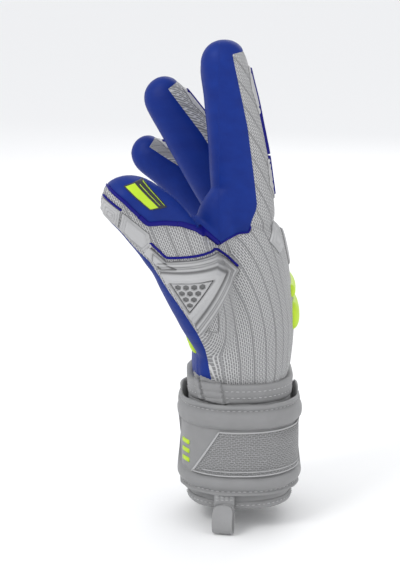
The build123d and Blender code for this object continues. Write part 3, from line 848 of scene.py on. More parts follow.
def nodes_of(zone, cloth):
    """The CAD nodes that one panel stands for."""
    if zone == "hand":
        textile = ["backhand_panel", "little_side_panel", "thumb_root", "finger_base_flex", "thumb_base_flex"]
        return textile if cloth == "textile" else ["palm_latex"]
    name, stretch = zone.rsplit("_", 1)
    part = name + ("_base_" if stretch == "lower" else "_tip_")
    if cloth == "latex":
        return [part + "latex"]
    return [part + "back"] + ([name + "_middle_flex"] if stretch == "lower" else [])


def drop_specks(cloths, smallest=60):
    """A patch of only a few faces takes the cloth round it."""
    seen = set()
    for face in skin.faces:
        if face.index in seen:
            continue
        patch, queue = {face}, [face]
        while queue:
            for edge in queue.pop().edges:
                new = [f for f in edge.link_faces if f not in patch and cloths[f.index] == cloths[face.index]]
                patch.update(new)
                queue += new
        seen |= {f.index for f in patch}
        if len(patch) < smallest:
            other = "latex" if cloths[face.index] == "textile" else "textile"
            cloths.update({f.index: other for f in patch})


skin.faces.index_update()
skin.faces.ensure_lookup_table()
cloths = {f.index: "textile" if sum(field[v.index] for v in f.verts) > 0 else "latex" for f in skin.faces}
drop_specks(cloths)
panels = {}
for face in skin.faces:
    cloth = cloths[face.index]
    panels.setdefault((zone_of(face.calc_center_median()), cloth), set()).add(face.index)
for (zone, cloth), kept in sorted(panels.items()):
    part = skin.copy()
    bmesh.ops.delete(part, geom=[f for f in part.faces if f.index not in kept], context="FACES")
    for edge in part.edges:
        edge.smooth = not edge.is_boundary
    is_latex = cloth == "latex"
    material, slot = (blue_latex, "blue_latex") if is_latex else (grey_textile, "grey_textile")
    panel = add_piece(part, f"{zone}_{cloth}", material)
    thicken(panel, LATEX_THICK if is_latex else TEXTILE_THICK)
    bend(panel, zone)
    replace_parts(panel, *nodes_of(zone, cloth))
print(len(panels), "panels:", {zone + " " + cloth: len(kept) for (zone, cloth), kept in panels.items()})


# %% [markdown]
# Moulded rubber parts are low reliefs. Each is a fine flat grid whose height follows a formula of the
# distance to its outline, so a rounded edge, a groove or a row of cells is a few lines of arithmetic. The
# grid is then laid on the glove: every point is dropped straight onto the skin from the side that the
# part faces.
# %% Lay flat work on the glove
SIDES = {                                   # the way out, and the way to the right, of each side's flat plane
    "thumb": (Vector((0, -1, 0)), Vector((1, 0, 0))),
    "back": (Vector((1, 0, 0)), Vector((0, 1, 0))),
    "palm": (Vector((-1, 0, 0)), Vector((0, 1, 0))),
    "knuckle": (Vector((1, -1, 0)).normalized(), Vector((1, 1, 0)).normalized()),
}
FAR_OUT = 0.3                # metres, where the drop starts
NEAR_MISS = 0.06             # a drop that misses looks for the nearest skin this far out from the middle
THUMB_LEAN = 0.52            # the thumb leans out by this much of its rise


def lay(bm, side, tree):
    """Points (right, up, height) of a flat piece go onto the surface that the side looks at."""
    out, right = SIDES[side]
    for vert in bm.verts:
        a, b, height = vert.co
        start = right * a + Vector((0, 0, b)) + out * FAR_OUT
        hit, normal = tree.ray_cast(start, -out)[:2]
        if hit is None:
            middle = THUMB_LEAN * (b - digits["thumb"].root.z) if tree is thumb_tree else 0
            hit, normal = tree.find_nearest(start - out * (FAR_OUT - NEAR_MISS - middle))[:2]
        vert.co = hit + (normal + out).normalized() * height
    if right.cross(Vector((0, 0, 1))).dot(out) < 0:
        bmesh.ops.reverse_faces(bm, faces=bm.faces)


def surface_of(zone):
    """The skin that a flat piece of this zone is laid on."""
    return thumb_tree if zone.startswith("thumb") else skin_tree


def distance_to_line(points, line):
    corners = np.array(line) * MM
    return np.min([to_segment(points, a, b) for a, b in zip(corners, corners[1:])], axis=0)


def groove(points, line, width, depth):
    """A rounded groove along the line, to be taken from a height."""
    return depth * np.exp(-(distance_to_line(points, line) / width) ** 2)


def pad_height(inside, top, run):
    """A rounded edge: nought at the outline, full height one run inside it, and sunk outside."""
    share = np.clip(inside / run, 0, 1)
    return np.where(inside > 0, top * np.sqrt(1 - (1 - share) ** 2), inside * 0.7)


def relief(name, side, outline, heights, material, zone, tree=None, cell=0.5 * MM):
    """A moulded piece: heights(points, inside) gives its height over the flat plane."""
    low, high = np.array(outline).min(0) * MM - 1.2 * MM, np.array(outline).max(0) * MM + 1.2 * MM
    counts = [max(2, int(round(span / cell))) for span in high - low]
    bm = bmesh.new()
    bmesh.ops.create_grid(bm, x_segments=counts[0], y_segments=counts[1], size=0.5)
    bmesh.ops.scale(bm, verts=bm.verts, vec=(*(high - low), 1))
    bmesh.ops.translate(bm, verts=bm.verts, vec=(*((low + high) / 2), 0))
    flat = np.array([v.co[:2] for v in bm.verts])
    inside = distance_inside(flat, outline)
    tall = heights(flat, inside)
    # rise, the share of the top height, sets the painted shade in the grooves of the grey rubber
    rise_layer = bm.verts.layers.float.new("rise")
    top = float(tall.max())
    for vert, height in zip(bm.verts, tall):
        vert.co.z = max(float(height), -0.6 * MM)
        vert[rise_layer] = min(1.0, max(0.0, float(height) / top))
    outside = [v for v, d in zip(bm.verts, inside) if d < -1.0 * MM]
    bmesh.ops.delete(bm, geom=outside, context="VERTS")
    lay(bm, side, tree or surface_of(zone))
    piece = add_piece(bm, name, material)
    thicken(piece, 0.6 * MM)
    bend(piece, zone)
    return piece


# %% [markdown]
# Raised lines, such as piping and printed trim, are beads: a small circle carried along a path with
# rounded corners. The lower half of the bead sinks into the cloth.
# %% Beads along a path
def path(points, step=1.2 * MM, corner=1.5 * MM):
    """Evenly spaced points along a line given in millimetres, with its corners rounded."""
    corners = [Vector((a, b, 0)) * MM for a, b in points]
    rounded = corners[:1]
    for before, p, after in zip(corners, corners[1:], corners[2:]):
        a = p + (before - p).normalized() * min(corner, (before - p).length * 0.45)
        b = p + (after - p).normalized() * min(corner, (after - p).length * 0.45)
        rounded += [a, a.lerp(p, 0.5).lerp(p.lerp(b, 0.5), 0.5), b]
    rounded.append(corners[-1])
    even = []
    for a, b in zip(rounded, rounded[1:]):
        count = max(1, round((b - a).length / step))
        even += [a.lerp(b, k / count) for k in range(count)]
    return even + [rounded[-1]]


def direction_at(line, i):
    """The way the line runs at its point i."""
    return (line[min(i + 1, len(line) - 1)] - line[max(i - 1, 0)]).normalized()


def tube(bm, frames, sides=8):
    """Carries a small circle through the frames."""
    ring = bmesh.ops.create_circle(bm, segments=sides, radius=1)["verts"]
    bmesh.ops.transform(bm, matrix=frames[0], verts=ring)
    first = list({edge for vert in ring for edge in vert.link_edges})
    close_ends(bm, first, carry_edges(bm, first, frames))
    bmesh.ops.recalc_face_normals(bm, faces=bm.faces)


def bead(name, side, points, width, height, material, zone, lift=0.0):
    line, up = path(points), UPRIGHT[2]
    frames = []
    for i, p in enumerate(line):
        along = direction_at(line, i)
        frames.append(section_frame(p + up * lift, up.cross(along), up, along, width * MM, 2 * height * MM))
    bm = bmesh.new()
    tube(bm, frames)
    lay(bm, side, surface_of(zone))
    bmesh.ops.recalc_face_normals(bm, faces=bm.faces)
    bend(add_piece(bm, name, material), zone)


# %% [markdown]
# On the ball of the thumb sits a moulded guard. Its bands are nested chevrons that share one corner line,
# so each groove is drawn between an outer and an inner chevron. A raised V frames a sunk triangle of
# hexagon cells.
# %% The guard on the ball of the thumb
GUARD = (
    (-52.5, 168.0), (-43.0, 158.6), (-14.8, 159.6), (-1.0, 148.6), (-22.0, 110.0), (-24.5, 111.5),
    (-29.0, 120.5), (-39.3, 137.5), (-50.3, 157.3), (-55.5, 163.0),
)
OUTER_CHEVRON = ((-47.5, 158.6), (-14.8, 159.6), (-1.0, 148.6), (-22.0, 110.0))
INNER_CHEVRON = ((-47.0, 149.6), (-14.6, 150.8), (-10.6, 147.2), (-28.0, 117.5))
V_BAND = ((-45.4, 149.3), (-15.0, 150.4), (-11.6, 147.2), (-28.6, 119.2), (-30.6, 122.5))
CELL_FIELD = ((-40.6, 144.9), (-17.2, 145.9), (-29.7, 125.6))
SUNK_FRAME = ((-50.2, 163.6), (-50.4, 158.0), (-45.8, 153.2), (-37.5, 154.0), (-42.6, 156.6), (-50.2, 163.6))


def between(share):
    """A chevron that share of the way from the inner one to the outer one."""
    return [np.array(a) * (1 - share) + np.array(b) * share for a, b in zip(INNER_CHEVRON, OUTER_CHEVRON)]


def guard_heights(points, inside):
    height = pad_height(inside, 2.1 * MM, 1.2 * MM)
    height -= groove(points, between(0.2), 1.2 * MM, 1.5 * MM)
    for share in (0.5, 0.64, 0.86):
        height -= groove(points, between(share), 0.5 * MM, 1.1 * MM)
    height -= groove(points, SUNK_FRAME, 0.5 * MM, 1.1 * MM)
    in_band = distance_inside(points, V_BAND)
    height = np.maximum(height, pad_height(in_band, 3.0 * MM, 1.8 * MM))
    in_field = distance_inside(points, CELL_FIELD)
    sunk = smoothstep((in_field + 0.9 * MM) / (0.9 * MM))
    return height * (1 - sunk) + sunk * 0.1 * MM


guard = relief("thumb_guard_moulding", "thumb", GUARD, guard_heights, grey_rubber,
               "thumb_lower")
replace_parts(guard, "thumb_guard")

CELL_PITCH = 4.5
CELL_START = (-36.3, 142.2)
cells = [
    ((CELL_START[0] + CELL_PITCH * (column + row / 2)) * MM,
     (CELL_START[1] + 0.05 * CELL_PITCH * column - CELL_PITCH * 0.866 * row) * MM)
    for row in range(5) for column in range(4 - row)
]


def cell_heights(points, inside):
    """Six-sided pits, with a wall between them."""
    away = [(points[:, 0] - a, points[:, 1] - b) for a, b in cells]
    hexagons = [np.max(np.abs([u, 0.5 * u + 0.866 * v, 0.5 * u - 0.866 * v]), axis=0) for u, v in away]
    nearest = np.minimum(np.min(hexagons, axis=0), np.abs(inside) + 1.5 * MM)
    walls = 0.2 * MM + 1.6 * MM * smoothstep((nearest - 1.35 * MM) / (0.55 * MM))
    return np.where(inside > 0, walls, -0.5 * MM)


def floor_heights(points, inside):
    return np.where(inside > -0.4 * MM, 0.5 * MM, -0.5 * MM)


comb = relief("honeycomb_field", "thumb", CELL_FIELD, cell_heights, grey_rubber, "thumb_lower",
              cell=0.3 * MM)
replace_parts(comb, "thumb_guard_honeycomb")
relief("honeycomb_floor", "thumb", CELL_FIELD, floor_heights, dark_rubber, "thumb_lower",
       cell=0.6 * MM)
GUARD_LINE = ((-51.8, 170.2), (-42.9, 160.9), (-14.4, 161.6), (-2.0, 150.6))
bead("guard_blue_line", "thumb", GUARD_LINE, 1.5, 1.1, blue_trim, "thumb_lower")
print(len(cells), "cells in the guard")


# %% [markdown]
# The thumb carries two more mouldings, one over its middle joint and one near its tip, and a woven label
# on the side that faces the fingers. The label holds plain bars and no lettering.
# %% Mouldings and label on the thumb
MIDDLE_PANEL = ((-66.6, 188.6), (-52.2, 175.4), (-50.4, 167.6), (-54.8, 163.0), (-63.5, 170.6), (-69.0, 177.0))
TIP_PANEL = ((-77.6, 196.2), (-67.6, 189.4), (-69.6, 178.2), (-74.0, 181.6), (-79.5, 188.0))


def shrink(outline, share):
    """The same outline, smaller about its middle, and closed as a line."""
    corners = np.array(outline, float)
    middle = corners.mean(0)
    return [tuple(middle + (c - middle) * share) for c in (*corners, corners[0])]


def nested_heights(outline, top, shares):
    def heights(points, inside):
        height = pad_height(inside, top * MM, 1.0 * MM)
        for share in shares:
            height -= groove(points, shrink(outline, share), 0.45 * MM, 0.75 * MM)
        return height
    return heights


def nested_moulding(name, side, outline, top, shares, zone):
    """Grey rubber with the same outline pressed in again, smaller and smaller."""
    return relief(name, side, outline, nested_heights(outline, top, shares), grey_rubber, zone)


nested_moulding("thumb_joint_moulding", "thumb", MIDDLE_PANEL, 1.3, (0.84, 0.7), "thumb_upper")
tip_moulding = nested_moulding("thumb_tip_moulding", "thumb", TIP_PANEL, 1.2, (0.78, 0.5, 0.25), "thumb_upper")
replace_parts(tip_moulding, "thumb_back_pad")
bead("thumb_blue_line", "thumb", ((-77.2, 197.4), (-67.0, 190.0)), 1.3, 1.1, blue_trim,
     "thumb_upper", lift=0.3 * MM)

LABEL = ((-66.0, 203.1), (-55.8, 206.1), (-42.2, 189.9), (-51.4, 189.4))


def across_label(low, high, start=0.0, end=1.0):
    """Part of the label: low to high across it, start to end along it."""
    a, b, c, d = (np.array(corner) for corner in LABEL)
    corners = []
    for across, along in ((low, start), (high, start), (high, end), (low, end)):
        near_end, far_end = a * (1 - across) + b * across, d * (1 - across) + c * across
        corners.append(tuple(near_end * (1 - along) + far_end * along))
    return corners


def flat_heights(top):
    return lambda points, inside: pad_height(inside, top * MM, 0.4 * MM)


label = relief("thumb_label_patch", "thumb", LABEL, flat_heights(0.7), black_ink, "thumb_upper",
               cell=0.4 * MM)
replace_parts(label, "thumb_label")
LABEL_BARS = {                               # low, high, start and end
    "wide": (0.03, 0.56, 0.03, 0.97), "thin": (0.66, 0.74, 0.1, 0.92), "edge": (0.88, 0.96, 0.05, 0.95),
}
for name, spans in LABEL_BARS.items():
    relief("label_bar_" + name, "thumb", across_label(*spans), flat_heights(0.95), lime_rubber,
           "thumb_upper", cell=0.35 * MM)

# The lip at the index finger and the latex edge along the web are beads in the darker blue, which paints the
# shade that falls on the latex edge.
WEB_EDGE = ((-75.4, 202.4), (-65.5, 194.9), (-57.4, 186.2), (-52.8, 181.4), (-43.5, 181.6), (-34.2, 179.8),
            (-25.7, 175.6), (-18.9, 169.6), (-13.2, 164.4))
INDEX_LIP = ((-12.6, 163.9), (-8, 166.8), (-1.7, 169.7), (4.2, 170.3), (5.1, 173.9))
FOLD = (-36.5, 180.2)        # the shaded lip crosses here from one stretch of skin to the next
for name, line, width, height, zone in (
    ("index_latex_lip", INDEX_LIP, 1.1, 0.7, "hand"),
    ("thumb_web_binding_tip", WEB_EDGE[:3], 2.2, 1.3, "thumb_upper"),
    ("thumb_web_binding_middle", (*WEB_EDGE[2:5], FOLD), 2.9, 1.4, "thumb_upper"),
    ("thumb_web_binding", (FOLD, *WEB_EDGE[5:]), 2.9, 1.4, "thumb_lower"),
):
    bead(name, "thumb", line, width, height, blue_trim, zone)


# %% [markdown]
# Each finger has a slim moulding on its back with a blue inlay, and a kite over its knuckle. On a finger,
# a flat outline is given as millimetres across and along the finger, and its height comes from the
# finger's own line.
# %% Mouldings on the finger backs
def on_finger(digit, outline):
    """(across, along from the root) becomes (y, z) of the back's flat plane, in millimetres."""
    heights = [digit.point_at(s * MM).z + digit.back.z * digit.size_at(s * MM)[0] / 2 for _, s in outline]
    return [(digit.root.y / MM + a, height / MM) for (a, _), height in zip(outline, heights)]


for name in FINGERS:
    d = digits[name]
    base, tip = d.base_length / MM, d.tip_length / MM
    low, high = base + 0.12 * tip, base + 0.68 * tip
    middle = (low + high) / 2
    pad_outline = ((-4.2, low), (4.2, low), (6.2, middle), (3.6, high), (-3.6, high), (-6.2, middle))
    pad = nested_moulding(name + "_back_moulding", "back", on_finger(d, pad_outline), 0.9, (0.72,),
                          name + "_upper")
    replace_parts(pad, name + "_back_pad")
    stretches = (("upper", base / 2 + 0.3, base + 0.66 * tip), ("lower", -5.0, base / 2 - 0.3))
    for stretch, first, last in stretches:
        inlay = on_finger(d, ((-1.7, first), (1.7, first), (1.2, last), (-1.2, last)))
        relief(f"{name}_blue_inlay_{stretch}", "back", inlay, flat_heights(1.6), blue_trim,
               f"{name}_{stretch}", cell=0.4 * MM)
    kite = on_finger(d, ((0, -8), (5.5, 1), (4.4, base / 2 - 2), (-4.4, base / 2 - 2), (-5.5, 1)))
    nested_moulding(name + "_root_moulding", "back", kite, 1.0, (0.76, 0.45), name + "_lower")


# %% [markdown]
# Over the knuckles lies a row of kites, joined into one moulding on the real glove. Lower down are two
# soft lime bars, and on the palm a thick plain patch takes the wear at the heel of the hand.
# %% Knuckles, back pads and palm patch
KNUCKLE_KITE = ((-13.5, 176), (-21.5, 164.5), (-13.0, 156.2), (-5.5, 159.5))
KITE_SHARES = (0.75, 0.42)
kite = nested_moulding("knuckle_moulding_index", "knuckle", KNUCKLE_KITE, 1.3, KITE_SHARES, "hand")
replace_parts(kite, "knuckle_pad")
for name in FINGERS[1:]:
    y = digits[name].root.y / MM
    top = float(crown_at(y * MM)) / MM
    outline = ((y, top - 1), (y - 8, top - 12), (y, top - 24), (y + 8, top - 12))
    nested_moulding("knuckle_moulding_" + name, "back", outline, 1.4, KITE_SHARES, "hand")


BAR_CORNERS = 24             # points round a bar's outline


def soft_bar(name, node, half_width, low, high, top, side, shift=0.0):
    """A rounded bar that stands proud, fuller in its middle."""
    middle, half_height, radius = (low + high) / 2, (high - low) / 2, (high - low) * 0.42
    outline = []
    for k in range(BAR_CORNERS):
        angle = 2 * math.pi * (k + 0.5) / BAR_CORNERS
        a, b = math.cos(angle), math.sin(angle)
        outline.append((shift + math.copysign(half_width - radius, a) + radius * a,
                        middle + math.copysign(half_height - radius, b) + radius * b))

    def heights(points, inside):
        return pad_height(inside, top * MM, (high - low) * 0.45 * MM)

    bar = relief(name, side, outline, heights, lime_rubber, "hand", cell=0.8 * MM)
    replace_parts(bar, node)


soft_bar("back_bar_upper", "back_pad_upper", 23, 126, 134, 2.4, "back")
soft_bar("back_bar_lower", "back_pad_lower", 24, 106, 123, 3.4, "back")
soft_bar("palm_heel_patch", "palm_patch", 10, 92, 108, 3.2, "palm", shift=-17)


# %% [markdown]
# The cuff is a flattened ring: four quarter circles joined by short straights. A profile given as height
# and outward reach is carried round it, so the hem, the knit, the strap and its rolls all follow the same
# path.
# %% Carry a profile round the cuff
CUFF_RADIUS = 28.5           # mm, of the four quarter circles
CUFF_HALF_X = 2.5
CUFF_HALF_Y = 10.5
TURN_STEP = 5                # degrees between rings


def cuff_frames(first, last):
    """Frames from one angle to another in degrees: 0 is the back, -90 the thumb's side, 90 the other."""
    frames = []
    count = max(1, round(abs(last - first) / TURN_STEP))
    angles = [first + (last - first) * k / count for k in range(count + 1)]
    for a, b in zip(angles, angles[1:]):
        middle = math.radians((a + b) / 2)
        x, y = math.copysign(CUFF_HALF_X, math.cos(middle)), math.copysign(CUFF_HALF_Y, math.sin(middle))
        centre = mm(x, y, 0)
        for angle in (a, b):
            made = Matrix.Translation(centre) @ Matrix.Rotation(math.radians(angle), 4, "Z")
            if not frames or (made.translation - frames[-1].translation).length > 1e-6 or angle == b:
                frames.append(made)
    return frames


def meet_middle(frames, at_start, side):
    """Adds the ring on the middle line of the glove, where one half of the strap ends."""
    ring = frames[0 if at_start else -1].copy()
    ring.translation.y = side * 0.3 * MM
    return [ring] + frames if at_start else frames + [ring]


def carry(frames, profile, closed=False):
    """Profile points are (outward reach past the cuff's wall, height) in millimetres."""
    frames = frames + frames[:1] if closed else frames
    bm = bmesh.new()
    ring = [bm.verts.new(frames[0] @ mm(CUFF_RADIUS + reach, 0, height)) for reach, height in profile]
    first = [bm.edges.new((a, b)) for a, b in zip(ring, ring[1:] + ring[:1])]
    last = carry_edges(bm, first, frames)
    if closed:
        bmesh.ops.remove_doubles(bm, verts=bm.verts, dist=1e-5)
    else:
        close_ends(bm, first, last)
    bmesh.ops.recalc_face_normals(bm, faces=bm.faces)
    return bm


def rumple(bm, size, amount):
    """Uneven folds: moves points outwards by slow noise."""
    bm.normal_update()
    for vert in bm.verts:
        vert.co += vert.normal * noise.noise(vert.co / size) * amount


def cuff_ring(name, profile, fold, depth, node):
    """A ring of cloth all round the cuff, with creases of that length and depth."""
    bm = carry(cuff_frames(-180, 180), profile, True)
    rumple(bm, fold * MM, depth * MM)
    piece = soften(add_piece(bm, name, cuff_fabric, "hand"))
    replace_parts(piece, node)
    return piece


CUFF_PROFILE = ((-3, 4), (-0.3, 4), (0.1, 6), (-0.2, 9), (0, 14), (0, 60), (0, 67), (-3, 67))
HEM_PROFILE = ((-3.3, 0.4), (-1.4, -0.3), (0.5, 0.2), (0.9, 2.2), (0.7, 4.4), (0, 5.4), (-3.2, 5.2))
KNIT_PROFILE = ((-3, 64.5), (0.1, 64.5), (0.6, 67.5), (0.3, 68.8), (0.9, 71), (0.5, 72.8), (1.2, 74.6),
                (1.3, 76.6), (0.2, 77.4), (-5.8, 76.8))
cuff_ring("inner_cuff", CUFF_PROFILE, 9, 0.5, "cuff_band")
cuff_ring("hem_binding", HEM_PROFILE, 11, 0.7, "cuff_hem")
knit_piece = cuff_ring("wrist_knit", KNIT_PROFILE, 7, 0.4, "wrist_elastic")
print("cuff rings:", len(knit_piece.data.polygons), "faces in the knit")


# %% [markdown]
# The strap wraps the cuff. Its front half swings open at the back of the glove, and its tail folds away
# at the palm. Along both edges it carries a soft roll, full in the middle and pinched where it is sewn.
# %% The strap
STRAP_LIFT = 4.2             # from the cuff's wall to the strap's outer face
STRAP_INSIDE = 1.9
UPPER_EDGE = ((0.2, 49.2), (-1.0, 50.2), (1.0, 51.0), (2.4, 53.2), (2.9, 56.2), (2.3, 59.2), (1.0, 61.0),
              (-0.6, 62.0), (0.9, 62.8), (1.3, 64.6), (0.4, 65.7))
LOWER_EDGE = ((0.3, 9.4), (1.2, 10.2), (0.8, 11.4), (-0.6, 12.3), (1.0, 13.2), (2.3, 15.0), (2.7, 17.0),
              (2.1, 19.2), (0.7, 20.4), (-0.9, 21.2), (0.1, 22.2))


def strap_profile(share):
    """The strap's section; share scales how far its rolls stand out."""
    outer = [(STRAP_LIFT + reach * share, height) for reach, height in (*LOWER_EDGE, (0.15, 35), *UPPER_EDGE)]
    return [(STRAP_INSIDE, 9.4), *outer, (STRAP_INSIDE, 65.7)]


def strap_part(name, frames, share, body, nodes):
    bm = carry(frames, strap_profile(share))
    rumple(bm, 8 * MM, 0.7 * MM * share)
    piece = soften(add_piece(bm, name, cuff_fabric, body), 2)
    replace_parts(piece, *nodes)
    return piece


front = meet_middle(meet_middle(cuff_frames(0, -180), True, -1), False, -1)
front_nodes = ["strap_wrap", "strap_upper_roll", "strap_lower_roll"]
strap_front = strap_part("strap_front_half", front, 1.0, "strap_front", front_nodes)
tail_frames = meet_middle(cuff_frames(18, 180), False, 1)
strap_part("strap_tail_half", tail_frames, 0.8, "strap_end", ["strap_tail"])
base_frames = meet_middle(cuff_frames(0, 16), True, 1)
strap_part("strap_base_block", base_frames, 0.9, "hand", ["strap_base"])

PANEL_LOW, PANEL_HIGH = 22.2, 48.8
SLANT_TOP, SLANT_BOTTOM = (-12.8, PANEL_HIGH), (-28.5, PANEL_LOW)
PANEL_PROFILE = ((-0.8, PANEL_LOW), (0.7, PANEL_LOW), (0.8, 30), (0.8, 41), (0.7, PANEL_HIGH),
                 (-0.8, PANEL_HIGH))
panel = carry(cuff_frames(-6, -150), [(STRAP_LIFT + reach, height) for reach, height in PANEL_PROFILE])
slant = mm(SLANT_TOP[0] - SLANT_BOTTOM[0], 0, PANEL_HIGH - PANEL_LOW)
cut = bmesh.ops.bisect_plane(
    panel, geom=[*panel.verts, *panel.edges, *panel.faces], plane_co=mm(SLANT_TOP[0], 0, PANEL_HIGH),
    plane_no=(slant.z, 0, -slant.x), clear_inner=True
)["geom_cut"]
close_ends(panel, [g for g in cut if isinstance(g, bmesh.types.BMEdge)])
panel_weave = panel.verts.layers.float_vector.new("weave")
for vert in panel.verts:
    vert[panel_weave] = Vector((math.atan2(vert.co.x, -vert.co.y) * 38 * MM, vert.co.z, 0))
mesh_panel = add_piece(panel, "strap_mesh", dark_mesh, "strap_front")
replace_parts(mesh_panel, "strap_mesh_panel")


# %% [markdown]
# The mesh panel is bound: a light piping runs along its long edges and up its slanted end. Short plain
# lime bars stand where the strap ends at the palm. Under the tail lie the hook tape, and on the cuff the
# loop tape.
# %% Piping, bars and fastener tapes
def round_profile(height, reach, radius, sides=8):
    angles = [2 * math.pi * k / sides for k in range(sides)]
    return [(reach + radius * math.cos(angle), height + radius * math.sin(angle)) for angle in angles]


def angle_at(x):
    """Where on the thumb's side the strap's face is at x, in degrees."""
    reach = CUFF_RADIUS + STRAP_LIFT
    return -math.degrees(math.acos((x + math.copysign(CUFF_HALF_X, -x)) / reach))


for name, start, end_x, height, lift, radius, sides in (
    ("piping_low", -6, SLANT_BOTTOM[0], PANEL_LOW, 0.5, 0.5, 8),
    ("piping_high", -6, SLANT_TOP[0], PANEL_HIGH, 0.5, 0.5, 8),
    ("panel_stitch_low", -8, SLANT_BOTTOM[0] + 6, PANEL_LOW + 2.6, 0.75, 0.3, 6),
):
    profile = round_profile(height, STRAP_LIFT + lift, radius, sides)
    bm = carry(cuff_frames(start, angle_at(end_x)), profile)
    add_piece(bm, name, light_thread, "strap_front")
strap_bm = bmesh.new()
strap_bm.from_mesh(mesh_panel.data)
strap_bm.from_mesh(strap_front.data)
strap_tree = BVHTree.FromBMesh(strap_bm)
strap_bm.free()


def strap_bead(name, points, width, height, material):
    line = path(points)
    along, up = (line[-1] - line[0]).normalized(), UPRIGHT[2]
    bm = bmesh.new()
    tube(bm, [section_frame(p, up.cross(along), up, along, width * MM, 2 * height * MM) for p in line])
    lay(bm, "thumb", strap_tree)
    bmesh.ops.recalc_face_normals(bm, faces=bm.faces)
    add_piece(bm, name, material, "strap_front")


strap_bead("piping_slant", (SLANT_BOTTOM, SLANT_TOP), 1.0, 0.7, light_thread)
BAR_PROFILE = ((-0.3, 0), (0.7, 0.3), (0.7, 2.7), (-0.3, 3))
BAR_LOW, BAR_PITCH = 26, 5.5
for k in range(3):
    profile = [(STRAP_LIFT + reach, BAR_LOW + BAR_PITCH * k + height) for reach, height in BAR_PROFILE]
    bar = carry(cuff_frames(-148, -164), profile)
    add_piece(bar, f"strap_bar_{k}", lime_rubber, "strap_front")
for name, low, high, body, node in (
    ("hook_tape", 1.15, 1.75, "strap_end", "hook_patch"), ("loop_tape", 0.1, 0.7, "hand", "loop_patch"),
):
    bm = carry(cuff_frames(54, 126), ((low, 17), (high, 17), (high, 56), (low, 56)))
    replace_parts(add_piece(bm, name, fastener_tape, body, smooth=False), node)


# %% [markdown]
# The pull tab is a loop of flat webbing hung under the hem. A short tongue on the cuff holds it, and a
# bar tack of tight stitches closes it. The loop is the same kind of lofted tube as a finger, only flat
# and thin.
# %% The pull tab
TAB_LOW, TAB_HIGH = (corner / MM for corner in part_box("pull_tab"))
TAB_X = (TAB_LOW.x + TAB_HIGH.x) / 2
TAB_WIDTH = (TAB_HIGH.x - TAB_LOW.x) * 0.94
WEBBING = 1.5
front_y, back_y = TAB_LOW.y + 1.6, TAB_HIGH.y - 1.0
loop_line = (
    (back_y - 0.2, TAB_HIGH.z + 0.8), (back_y - 0.4, -2), (back_y - 0.5, -8),
    ((front_y + back_y) / 2 + 2, TAB_LOW.z + 1.2), ((front_y + back_y) / 2 - 1.6, TAB_LOW.z + 1.1),
    (front_y, -8.5), (front_y + 0.6, -2), (back_y - 2.4, TAB_HIGH.z + 0.6),
)


def webbing_loop(line, width, yaw=0):
    bm = bmesh.new()
    spots = [mm(TAB_X, a, b) for a, b in line]
    frames = []
    for i, p in enumerate(spots):
        along, across = direction_at(spots, i), UPRIGHT[0]
        frames.append(section_frame(p, across.cross(along), across, along, WEBBING * MM, width * MM))
    loft(bm, frames, 9)
    bmesh.ops.recalc_face_normals(bm, faces=bm.faces)
    turn = Matrix.Rotation(math.radians(yaw), 3, "Z")
    bmesh.ops.rotate(bm, verts=bm.verts, cent=spots[0], matrix=turn)
    return bm


LOOP_YAW = -14               # degrees: the loop hangs a little turned
TONGUE_LINE = ((-40.7, 0.6), (-41.6, 3.4), (-42.0, 6), (-41.6, 9), (-40.6, 12))
loop_bm = webbing_loop(loop_line, TAB_WIDTH, LOOP_YAW)
tab = soften(add_piece(loop_bm, "tab_webbing_loop", tab_webbing, "tab_loop"), 2)
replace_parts(tab, "pull_tab")
tongue_bm = webbing_loop(TONGUE_LINE, TAB_WIDTH * 0.96)
tongue = soften(add_piece(tongue_bm, "tab_tongue", tab_webbing, "hand"))
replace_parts(tongue, "tab_anchor")


# %% [markdown]
# Stitches are tiny grains set in a row: one low-poly ball, stretched along the thread, is put at each
# station. They line the strap's edges, the knitted wrist and the hem, and close up into the bar tack on
# the tab.
# %% Stitches
STITCH = 2.3                 # mm long
STITCH_GAP = 1.0
THREAD = 0.32                # mm, the thread's radius


def stitch_row(bm, spots):
    """Spots are (place, direction) of each stitch."""
    for place, along in spots:
        turn = along.to_track_quat("X", "Z").to_matrix().to_4x4()
        size = Matrix.Diagonal((STITCH / 2 * MM, THREAD * MM, THREAD * MM, 1))
        grain = Matrix.Translation(place) @ turn @ size
        bmesh.ops.create_uvsphere(bm, u_segments=6, v_segments=4, radius=1, matrix=grain)


def around_cuff(first, last, height, reach):
    """Evenly spaced stitches round the cuff at one height."""
    frames = cuff_frames(first, last)
    line = [made @ mm(CUFF_RADIUS + reach, 0, height) for made in frames]
    spots, carried = [], 0.0
    pitch = (STITCH + STITCH_GAP) * MM
    for a, b in zip(line, line[1:]):
        length = (b - a).length
        while carried < length:
            spots.append((a.lerp(b, carried / length), (b - a).normalized()))
            carried += pitch
        carried -= length
    return spots


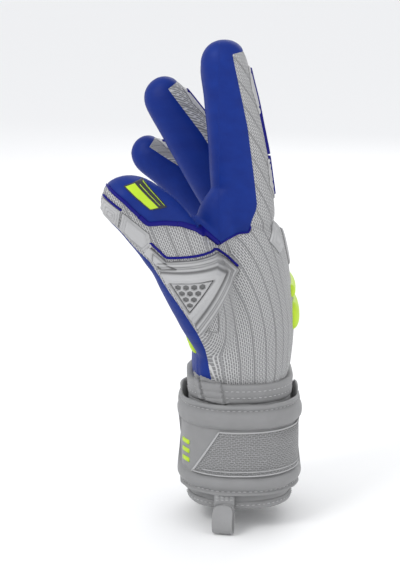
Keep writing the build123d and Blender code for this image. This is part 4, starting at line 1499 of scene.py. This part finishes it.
STRAP_SEAMS = ((62.0, STRAP_LIFT), (12.3, STRAP_LIFT))        # height and reach of each row
CUFF_SEAMS = ((69, 0.55), (73, 0.75), (3.0, 0.95))
for name, body, first, last, seams in (
    ("strap_stitches", "strap_front", -3, -176, STRAP_SEAMS),
    ("tail_stitches", "strap_end", 20, 176, STRAP_SEAMS),
    ("cuff_stitches", "hand", -179, 179, CUFF_SEAMS),
):
    bm = bmesh.new()
    for height, reach in seams:
        stitch_row(bm, around_cuff(first, last, height, reach))
    add_piece(bm, name, light_thread, body)
TACK_Y, TACK_LOW = -42.7, 7.0        # the bar tack: four rows of four
tack = bmesh.new()
for row in range(4):
    for k in range(4):
        place = mm(TAB_X - 4.2 + 2.8 * k, TACK_Y, TACK_LOW + 0.9 * row)
        stitch_row(tack, [(place, Vector((1, 0, 0.1)))])
add_piece(tack, "tab_bar_tack", light_thread, "hand")
print("stitches made")


# %% [markdown]
# A small textile strip bridges the knit at the wrist, on the thumb's side, and the soft lining shows when
# the glove is looked into from below: a thin sleeve that ends closed inside the palm.
# %% Wrist strip and lining
cover = bmesh.new()
cover.from_mesh(knit_piece.data)
skin_copy = bpy.data.meshes.new("skin_copy")
skin.to_mesh(skin_copy)
cover.from_mesh(skin_copy)
wrist_tree = BVHTree.FromBMesh(cover)
STRIP = ((-23.9, 80.2), (-11.6, 77.2), (-9.6, 64.8), (-20.4, 66.2))
strip = relief("wrist_strip_patch", "thumb", STRIP, flat_heights(1.9), cuff_fabric, "hand",
               wrist_tree)
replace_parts(strip, "wrist_strip")
SMALL_STRIP = ((-27.6, 79.6), (-24.9, 79.6), (-22.0, 66.2), (-24.9, 66.6))
relief("wrist_strip_edge", "thumb", SMALL_STRIP, flat_heights(1.4), cuff_fabric, "hand",
       wrist_tree)
cover.free()
bpy.data.meshes.remove(skin_copy)

# height, and half of the depth and the width
LINING_RINGS = ((3, 24.6, 32.6), (40, 24.6, 32.6), (78, 24.4, 33), (110, 24.5, 39), (140, 20, 42),
                (154, 14, 34))
lining = bmesh.new()
frames = [section_frame(mm(1.5, 0, height), *UPRIGHT, 2 * deep * MM, 2 * wide * MM)
          for height, deep, wide in LINING_RINGS]
loft(lining, frames, 2.6)
lowest = min(lining.faces, key=lambda f: f.calc_center_median().z)
bmesh.ops.delete(lining, geom=[lowest], context="FACES")
bmesh.ops.recalc_face_normals(lining, faces=lining.faces)
lining_piece = soften(add_piece(lining, "lining_sleeve", lining_cloth, "hand"), 2)
thicken(lining_piece, 0.8 * MM)
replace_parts(lining_piece, "hand_lining")
skin.free()


# %% [markdown]
# The last step prints the box of the finished model.
# %% Finish
low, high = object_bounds()
print("visual box", [round(v, 4) for v in (*low, *high)])
